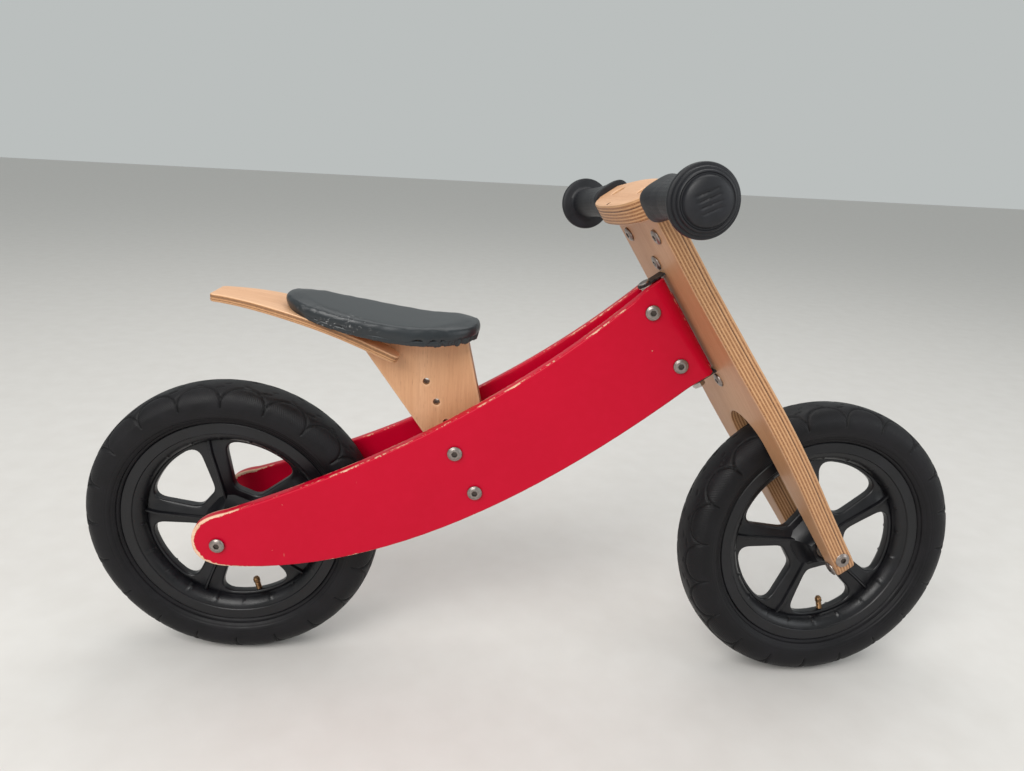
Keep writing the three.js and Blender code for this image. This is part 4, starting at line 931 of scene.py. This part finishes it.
for wheel in wheels:
    start = wheels[wheel][4]
    turn = start + np.arange(RIM_STEPS) * 2 * np.pi / RIM_STEPS
    profile = np.concatenate([RIM_HALF, RIM_HALF[::-1] * (1, -1)])
    ticks = (np.arange(RIM_STEPS) % 18 == 9) * 1.0
    on_barrel = ((profile[:, 0] < 98) & (profile[:, 0] > 91))[:, None]
    radius = profile[:, :1] - 1.1 * ticks * on_barrel
    channel = build(wheel + "_rim_moulded", on_wheel(wheel, radius, turn, profile[:, 1:]),
                    [hoop_faces(len(profile), RIM_STEPS)], rim_plastic)

    def web(u, v, w):
        """The spokes are roof-shaped: thicker by ROOF along the middle line of each."""
        radius, angle = np.hypot(u, v), np.arctan2(v, u) - start
        angle = (angle + np.pi / SPOKES) % (2 * np.pi / SPOKES) - np.pi / SPOKES
        aside = np.abs(radius * np.sin(angle))
        roof = ROOF * np.clip(1 - aside / 11, 0, 1) * np.clip((92 - radius) / 14, 0, 1)
        return on_wheel(wheel, radius, np.arctan2(v, u), w * (1 + roof / WEB_HALF))

    openings = [opening(start + (k + 0.5) * 2 * np.pi / SPOKES) for k in range(SPOKES)]
    spokes = board(wheel + "_web", circle((0, 0), 91.5, 180), WEB_HALF, 2.2, web, rim_plastic,
                   [*openings, circle((0, 0), 14, 40)], step=2.4)
    # a rib of six points across on each face of each spoke, lower where it meets the barrel
    ribs = []
    aside = np.array([-2.6, -1.3, -0.8, 0.8, 1.3, 2.6])
    out = np.linspace(19, 93, RIB_ROWS)[:, None]
    drop = np.clip((out - 78) / 15, 0, 1) * ROOF
    high = np.array([4, 10.6, 11.4, 11.4, 10.6, 4]) - drop * (np.abs(aside) < 2)
    caps = np.array([(0, 1, 2, 3), (0, 3, 4, 5)])
    caps = np.concatenate([caps, caps[:, ::-1] + (RIB_ROWS - 1) * 6])
    for k in range(SPOKES):
        for face in (-1, 1):
            turned = start + k * 2 * np.pi / SPOKES + np.arctan2(aside, out)
            rib = on_wheel(wheel, np.hypot(out, aside), turned, face * high)
            ribs.append(build(wheel + "_rib", rib, [sleeve_faces(RIB_ROWS, 6), caps], rim_plastic))
    # the boss grows from round, at the bearings, to five-sided
    boss = np.concatenate([BOSS_HALF, BOSS_HALF[::-1] * (1, -1)])
    spin = np.arange(BOSS_STEPS) * 2 * np.pi / BOSS_STEPS
    corner = np.cos(np.pi / SPOKES) / np.cos(spin % (2 * np.pi / SPOKES) - np.pi / SPOKES)
    five = np.clip((boss[:, :1] - 14) / 3, 0, 1)
    radius = boss[:, :1] * (1 + five * (corner * 1.12 - 1))
    hub = build(wheel + "_boss", on_wheel(wheel, radius, spin + start, boss[:, 1:]),
                [hoop_faces(len(boss), BOSS_STEPS)], rim_plastic)
    rim = one_piece([channel, spokes, hub, *ribs])
    hand_over(rim, wheel + "_wheel", wheel + "_rim")

# ---- valves ----------------------------------------------------------------------------
# A threaded brass stem stands on each rim's inner wall and points at the hub, with a small
# knurled brass cap screwed on its end.
VALVE_TURN = 3.5 * 2 * np.pi / SPOKES
VALVE_FOOT = 98
brass = Finish("worn brass", Metallic=1.0, Roughness=0.38)
tarnish = brass.noise(brass.place(), 3, 4)
brass.set(Base_Color=brass.mix(tarnish, shade(150, 116, 82), shade(88, 66, 46)))
brass.bump(brass.noise(brass.place(), 0.8, 3), 0.08)


def turned_piece(name, rows, count, centre, out, material, sides=6):
    """A turned piece: rows of radius, distance along out, and how far the section is a regular
    polygon (1) instead of round (0).  Both ends are closed by a fan of triangles."""
    rows = np.array([row if len(row) == 3 else (*row, 0) for row in rows], float)
    out = np.array(out, float)
    helper = np.array([0, 0, 1.0]) if abs(out[2]) < 0.8 else np.array([1.0, 0, 0])
    one = np.cross(helper, out)
    one /= np.linalg.norm(one)
    two = np.cross(out, one)
    turn = np.arange(count) * 2 * np.pi / count
    flat = np.cos(np.pi / sides) / np.cos(turn % (2 * np.pi / sides) - np.pi / sides)
    radius = rows[:, :1] * (1 + rows[:, 2:] * (flat - 1))
    outer = np.multiply.outer
    points = (outer(radius * np.cos(turn), one) + outer(radius * np.sin(turn), two)
              + outer(rows[:, 1:2] + 0 * radius, out))
    ends = outer(rows[[0, -1], 1], out)
    points = np.concatenate([points.reshape(-1, 3), ends]) + centre
    return build(name, points, [sleeve_faces(len(rows), count), end_fans(len(rows), count)], material)


# a smooth foot, a hexagon nut, a thread of alternate crests and roots, and a plain end
THREAD = [(2.95 - 0.28 * (k % 2), height) for k, height in enumerate(np.arange(9.5, 17.6, 0.28))]
STEM = [(2.8, 0.2), (2.8, 8.2), (3.9, 8.3), (3.9, 9.2, 1), (3.0, 9.4), *THREAD, (2.7, 18), (2.0, 18.6)]
KNURLED_CAP = [(2.6, 19.1), (3.4, 19.4), (3.55, 20.0), (3.35, 20.6), (3.55, 21.2), (3.35, 21.9),
               (3.55, 22.6), (3.2, 23.4), (2.7, 24.0), (2.5, 24.8), (1.6, 25.2)]
for wheel, (centre, ahead, up, left, start) in wheels.items():
    turn = start + VALVE_TURN
    inward = -(np.cos(turn) * ahead + np.sin(turn) * up)
    seat = centre - inward * VALVE_FOOT
    stem = turned_piece(wheel + "_valve_thread", STEM, 32, seat, inward, brass.material)
    cap = turned_piece(wheel + "_valve_top", KNURLED_CAP, 28, seat, inward, brass.material)
    hand_over(stem, wheel + "_wheel", wheel + "_valve_stem")
    hand_over(cap, wheel + "_wheel", wheel + "_valve_cap")

# ---- bolts and nuts --------------------------------------------------------------------
# Furniture fittings: flat round steel heads with a hexagon socket, plated and a little dull,
# the sockets painted dark as shade.  Bolts go in from the right, sleeve nuts meet them from the left.
nickel = Finish("dull nickel plate", Metallic=1.0)
wear = nickel.noise(nickel.place(), 2.2, 5, 0.65)
hollow = nickel.node("Attribute", {"attribute_name": "hollow"}, output=2)
plate = nickel.mix(wear, shade(178, 168, 162), shade(116, 106, 102))
# the socket rows are painted dark brown: a painted shade in the recess
nickel.set(Base_Color=nickel.mix(hollow.rises(0.2, 0.8) * 0.8, plate, shade(54, 46, 42)),
           Roughness=0.24 + wear * 0.26)
nickel.bump(wear, 0.05)
# a head: a low rim with a turned line, a flat top, and the socket, which is its last four rows
HEAD_SECTION = [(7.4, 0.0), (7.4, 0.9), (7.2, 1.3), (6.8, 1.65), (6.2, 1.9), (5.9, 1.8), (5.4, 2.2),
                (4.1, 2.6), (3.35, 2.6), (3.1, 2.45, 1), (2.9, 2.1, 1), (2.85, 1.0, 1), (1.2, 0.7)]
# how strongly painted shade darkens each of the socket's four rows
SOCKET_SHADE = [0.5, 1, 1, 1]
BOLT, AXLE = (3, 4.2), (3.85, 5.2)          # radii of shank and sleeve
FITTING_COUNT = 48


def fitting(name, node, body, seat, out, stem, length, section=None):
    """A bolt or sleeve nut: a stem behind the head's underside at seat, the head ahead of it."""
    rows = [(stem * 0.8, -length), (stem, 0.6 - length), (stem, 0)] + (section or HEAD_SECTION)
    piece = turned_piece(name, rows, FITTING_COUNT, seat, out, nickel.material)
    deep = np.array([0.0] * (len(rows) - len(SOCKET_SHADE)) + SOCKET_SHADE)
    field = piece.data.attributes.new("hollow", "FLOAT", "POINT")
    field.data.foreach_set("value", np.concatenate([np.repeat(deep, FITTING_COUNT), [0, 1]]))
    hand_over(piece, body, node)


cross_bolts = {
    "seat_lower": (foot, BOLT, 16),
    "seat_upper": (foot + 2 * hole_step, BOLT, 16),
    "rear_axle": (np.zeros(2), AXLE, 16),
    "head_upper": (on_panel(-7.4, 316.5), BOLT, 11),
    "head_lower": (on_panel(-8.3, 254.8), BOLT, 11),
}
for name, (place, (shank, sleeve), long) in cross_bolts.items():
    face = AXLE_SPAN - (place[0] - 8) * np.tan(CONVERGE) + GAP
    seat = REAR_AXLE + (place[0], 0, place[1])
    fitting(name + "_flat_bolt", name + "_bolt", "frame", seat - (0, face, 0), (0, -1, 0),
            shank, 2 * face - 4)
    fitting(name + "_sleeve_nut", name + "_nut", "frame", seat + (0, face, 0), (0, 1, 0), sleeve, long)

# on the steering body: node, place ahead, left and up, direction out, stem radius and length
rear_face, front_face = FORK_BACK - GAP, FORK_BACK + 9.3
steering_fittings = [
    ("barrel_nut_right", (rear_face, -BAR_BOLT, 381), -steer_ahead, 3, 15),
    ("barrel_nut_left", (rear_face, BAR_BOLT, 381), -steer_ahead, 3, 15),
    ("bracket_bolt_upper", (rear_face, 0, 351), -steer_ahead, 3, 18),
    ("bracket_bolt_lower", (rear_face, 0, 214), -steer_ahead, 3, 18),
    ("leg_bolt_right", (rear_face, -42, -13), -steer_ahead, 3, 16),
    ("leg_bolt_left", (rear_face, 42, -13), -steer_ahead, 3, 16),
    ("front_axle_bolt", (front_face, -56.8, 0), -steer_left, AXLE[0], 108),
    ("front_axle_nut", (front_face, 56.8, 0), steer_left, AXLE[1], 16),
]
for node, place, out, stem, long in steering_fittings:
    fitting(node + "_head", node, "steering", steered(*place)[0], out, stem, long)
bar_head = [(radius * 0.8, *more) for radius, *more in HEAD_SECTION]
for side, node in ((-1, "bar_bolt_right"), (1, "bar_bolt_left")):
    place = steered(FORK_MIDDLE, side * BAR_BOLT, BAR_MIDDLE + 5.8)[0]
    fitting(node + "_head", node, "steering", place, UP, 3, 30, bar_head)

# ---- saddle ----------------------------------------------------------------------------
# A thin foam pad under black vinyl, pulled tight over the board and stapled underneath, where
# the cut edge of the vinyl shows in ragged gathers.  The near rim is scuffed pale.
PAD_COUNT, UNDER_ROWS, TOP_ROWS = 144, 12, 14
PAD_UNDER, PAD_TOP, PAD_CROWN = 5.5, 13.9, 0.4      # heights over the dish, in mm
VOXEL, SWELL_LIMIT, SWELL_FRAMES = 0.0025, 0.0016, 20        # in metres, and frames
HEM_COUNT = 720
vinyl = Finish("black vinyl", Specular_IOR_Level=0.5)
vinyl_spot = vinyl.place()
vinyl_grain = vinyl.noise(vinyl_spot, 0.9, 3, 0.6)
vinyl_patch = vinyl.noise(vinyl_spot, 34, 4, 0.6)
right_rim = vinyl.node("SeparateXYZ", Vector=vinyl_spot, output=1).rises(-34, -48)
behind = vinyl.node("SeparateXYZ", Vector=vinyl_spot)
behind = behind.rises(REAR_AXLE[0] + 168, REAR_AXLE[0] + 96)
torn = vinyl.noise(vinyl_spot, 3.2, 5, 0.7).rises(0.57, 0.62)
torn = torn * vinyl.noise(vinyl_spot, 26, 2).rises(0.44, 0.54)
scuffs = torn * right_rim * behind
vinyl_colour = vinyl.mix(vinyl_patch.rises(0.35, 0.7), shade(27, 32, 36), shade(38, 43, 47))
vinyl.set(Base_Color=vinyl.mix(scuffs * 0.8, vinyl_colour, shade(168, 166, 166)),
          Roughness=0.30 + vinyl_patch * 0.12 + scuffs * 0.2)
vinyl.bump(vinyl_grain * 0.7 + vinyl_patch * 0.3, 0.14)


def pad():
    """Rings from the middle of the underside, round a lip that grips the board and the rolled
    edge, to the middle of the top.  Each is a share of the saddle's plan at a height over the
    dish; the top is crowned by PAD_CROWN * (1 - share ** 4).  Two centre points follow."""
    edge = np.radians(np.arange(-90, 91, 15))
    lip = np.array([(0.96, 5.2), (0.962, 2.5), (0.964, 0.2)])
    top = np.linspace(0.95, 0.04, TOP_ROWS)
    share = np.concatenate([np.linspace(0.04, 0.94, UNDER_ROWS), lip[:, 0], 0.966 + 0.032 * np.cos(edge),
                            top])
    lift = np.concatenate([np.full(UNDER_ROWS, PAD_UNDER), lip[:, 1], 6.7 + 7.2 * np.sin(edge),
                           PAD_TOP + PAD_CROWN * (1 - top ** 4)])
    plan = saddle_plan(0, PAD_COUNT) - (SADDLE_MIDDLE, 0)
    spots = share[:, None, None] * plan + (SADDLE_MIDDLE, 0)
    height = saddle_under(spots[..., 0]) + lift[:, None]
    points = np.concatenate([spots, height[..., None]], axis=-1).reshape(-1, 3)
    middle = saddle_under(np.array([SADDLE_MIDDLE]))[0]
    ends = np.array([(SADDLE_MIDDLE, 0, middle + PAD_UNDER),
                     (SADDLE_MIDDLE, 0, middle + PAD_TOP + PAD_CROWN)])
    return np.concatenate([points, ends]) + REAR_AXLE, len(share)


points, rings = pad()
cushion = build("saddle_pad", points, [sleeve_faces(rings, PAD_COUNT), end_fans(rings, PAD_COUNT)],
                vinyl.material)
with bpy.context.temp_override(active_object=cushion, object=cushion, selected_objects=[cushion]):
    remesh = cushion.modifiers.new("even mesh", "REMESH")
    remesh.mode, remesh.voxel_size = "VOXEL", VOXEL
    bpy.ops.object.modifier_apply(modifier=remesh.name)
    start = np.empty(len(cushion.data.vertices) * 3)
    cushion.data.vertices.foreach_get("co", start)
    cloth = cushion.modifiers.new("stuffing", "CLOTH")
    cloth.settings.use_pressure = True
    cloth.settings.uniform_pressure_force = 4
    cloth.settings.effector_weights.gravity = 0
    for number in range(1, SWELL_FRAMES + 1):
        bpy.context.scene.frame_set(number)
    swollen = cushion.evaluated_get(bpy.context.evaluated_depsgraph_get()).to_mesh()
    ended = np.empty(len(start))
    swollen.vertices.foreach_get("co", ended)
    # the vinyl is tight, so no point swells past SWELL_LIMIT, and none near the board moves
    move = (ended - start).reshape(-1, 3)
    far = np.linalg.norm(move, axis=1, keepdims=True)
    move *= SWELL_LIMIT * np.tanh(far / SWELL_LIMIT) / np.maximum(far, 1e-9)
    start = start.reshape(-1, 3)
    under = saddle_under(start[:, 0] * 1000 - REAR_AXLE[0]) + REAR_AXLE[2]
    above_board = np.clip((start[:, 2] * 1000 - under - PAD_UNDER) / 4, 0, 1)
    move *= above_board[:, None]
    cushion.modifiers.remove(cloth)
    bpy.context.scene.frame_set(1)
    cushion.data.vertices.foreach_set("co", (start + move).ravel())
    tight = cushion.modifiers.new("pulled tight", "SMOOTH")
    tight.factor, tight.iterations = 0.5, 6
    bpy.ops.object.modifier_apply(modifier=tight.name)
    smooth = cushion.modifiers.new("smooth", "SUBSURF")
    smooth.levels = smooth.render_levels = 1
    bpy.ops.object.modifier_apply(modifier=smooth.name)
cushion.data.materials.clear()
cushion.data.materials.append(vinyl.material)
cushion.data.shade_smooth()
hand_over(cushion, "frame", "saddle_cushion")

# the hem: a closed ribbon of vinyl round the board's edge, folded under, its lower edge ragged
turn = np.arange(HEM_COUNT) * 2 * np.pi / HEM_COUNT
plan = saddle_plan(0, HEM_COUNT) - (SADDLE_MIDDLE, 0)
rng = np.random.default_rng(7)
gathers = [rng.uniform(0.4, 1) * np.sin(k * turn + rng.uniform(0, 6.3)) for k in (23, 37, 61, 89, 131)]
ragged = sum(gathers) / 2.2
front = np.clip((np.cos(turn) - 0.35) / 0.5, 0, 1)
reach = 2.2 + 0.7 * ragged + front * (3.6 + 2.4 * ragged)
rows = []
for share, lift in ((0.962, 3.4), (0.975, 2.2), (0.974, 0.6), (0.958, -0.5), (0.925, -1.0)):
    fold = (0.012 * front * ragged * (lift < 3))[:, None]
    spots = plan * (share + fold) + (SADDLE_MIDDLE, 0)
    drop = np.where(lift < 0, reach * 0.45 * (1 if share < 0.95 else 0.8), 0)
    rows.append(np.column_stack([spots, saddle_under(spots[:, 0]) + lift - drop]))
inwards = np.column_stack([-plan * 0.012, np.full(HEM_COUNT, GAP)])
rows += [row + inwards for row in rows[::-1]]
hem = build("saddle_hem", np.concatenate(rows) + REAR_AXLE, [hoop_faces(len(rows), HEM_COUNT)],
            vinyl.material)
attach(hem, "frame")

# ---- small parts inside the wheels and at the steering pivot ---------------------------
# Turned or stamped parts that stay as they were cut: bearings, spacers, bushes, the two
# steering brackets with their nuts, the steering bolt, and the tubes inside the tyres.
dark_steel = Finish("blackened steel", Metallic=0.85)
rub = dark_steel.noise(dark_steel.place(), 5, 5, 0.65)
dark_steel.set(Base_Color=dark_steel.mix(rub.rises(0.4, 0.75), shade(46, 45, 48), shade(104, 100, 98)),
               Roughness=0.38 + rub * 0.2)
dark_steel.bump(rub, 0.08)
bright_steel = Finish("bright steel", Metallic=1.0)
shine = bright_steel.noise(bright_steel.place(), 3, 4)
bright_steel.set(Base_Color=bright_steel.mix(shine, shade(196, 192, 188), shade(150, 146, 142)),
                 Roughness=0.26 + shine * 0.16)
nylon = Finish("natural nylon")
cloud = nylon.noise(nylon.place(), 6, 3)
nylon.set(Base_Color=nylon.mix(cloud, shade(218, 215, 205), shade(200, 196, 184)),
          Roughness=0.42 + cloud * 0.12)
tube = rubber("tube rubber", shade(26, 26, 28), shade(48, 47, 50), 0.55, 1.2, 0.1)
coat(dark_steel.material, "steering_bracket_upper", "steering_bracket_lower")
coat(bright_steel.material, "bracket_nut_upper", "bracket_nut_lower", "steering_bolt", "steering_nut")
coat(nylon.material, "pivot_bush_upper", "pivot_bush_lower")
for wheel in wheels:
    coat(bright_steel.material, wheel + "_bearing_right", wheel + "_bearing_left")
    coat(rim_plastic, wheel + "_spacer_right", wheel + "_spacer_left")
    coat(tube, wheel + "_inner_tube")
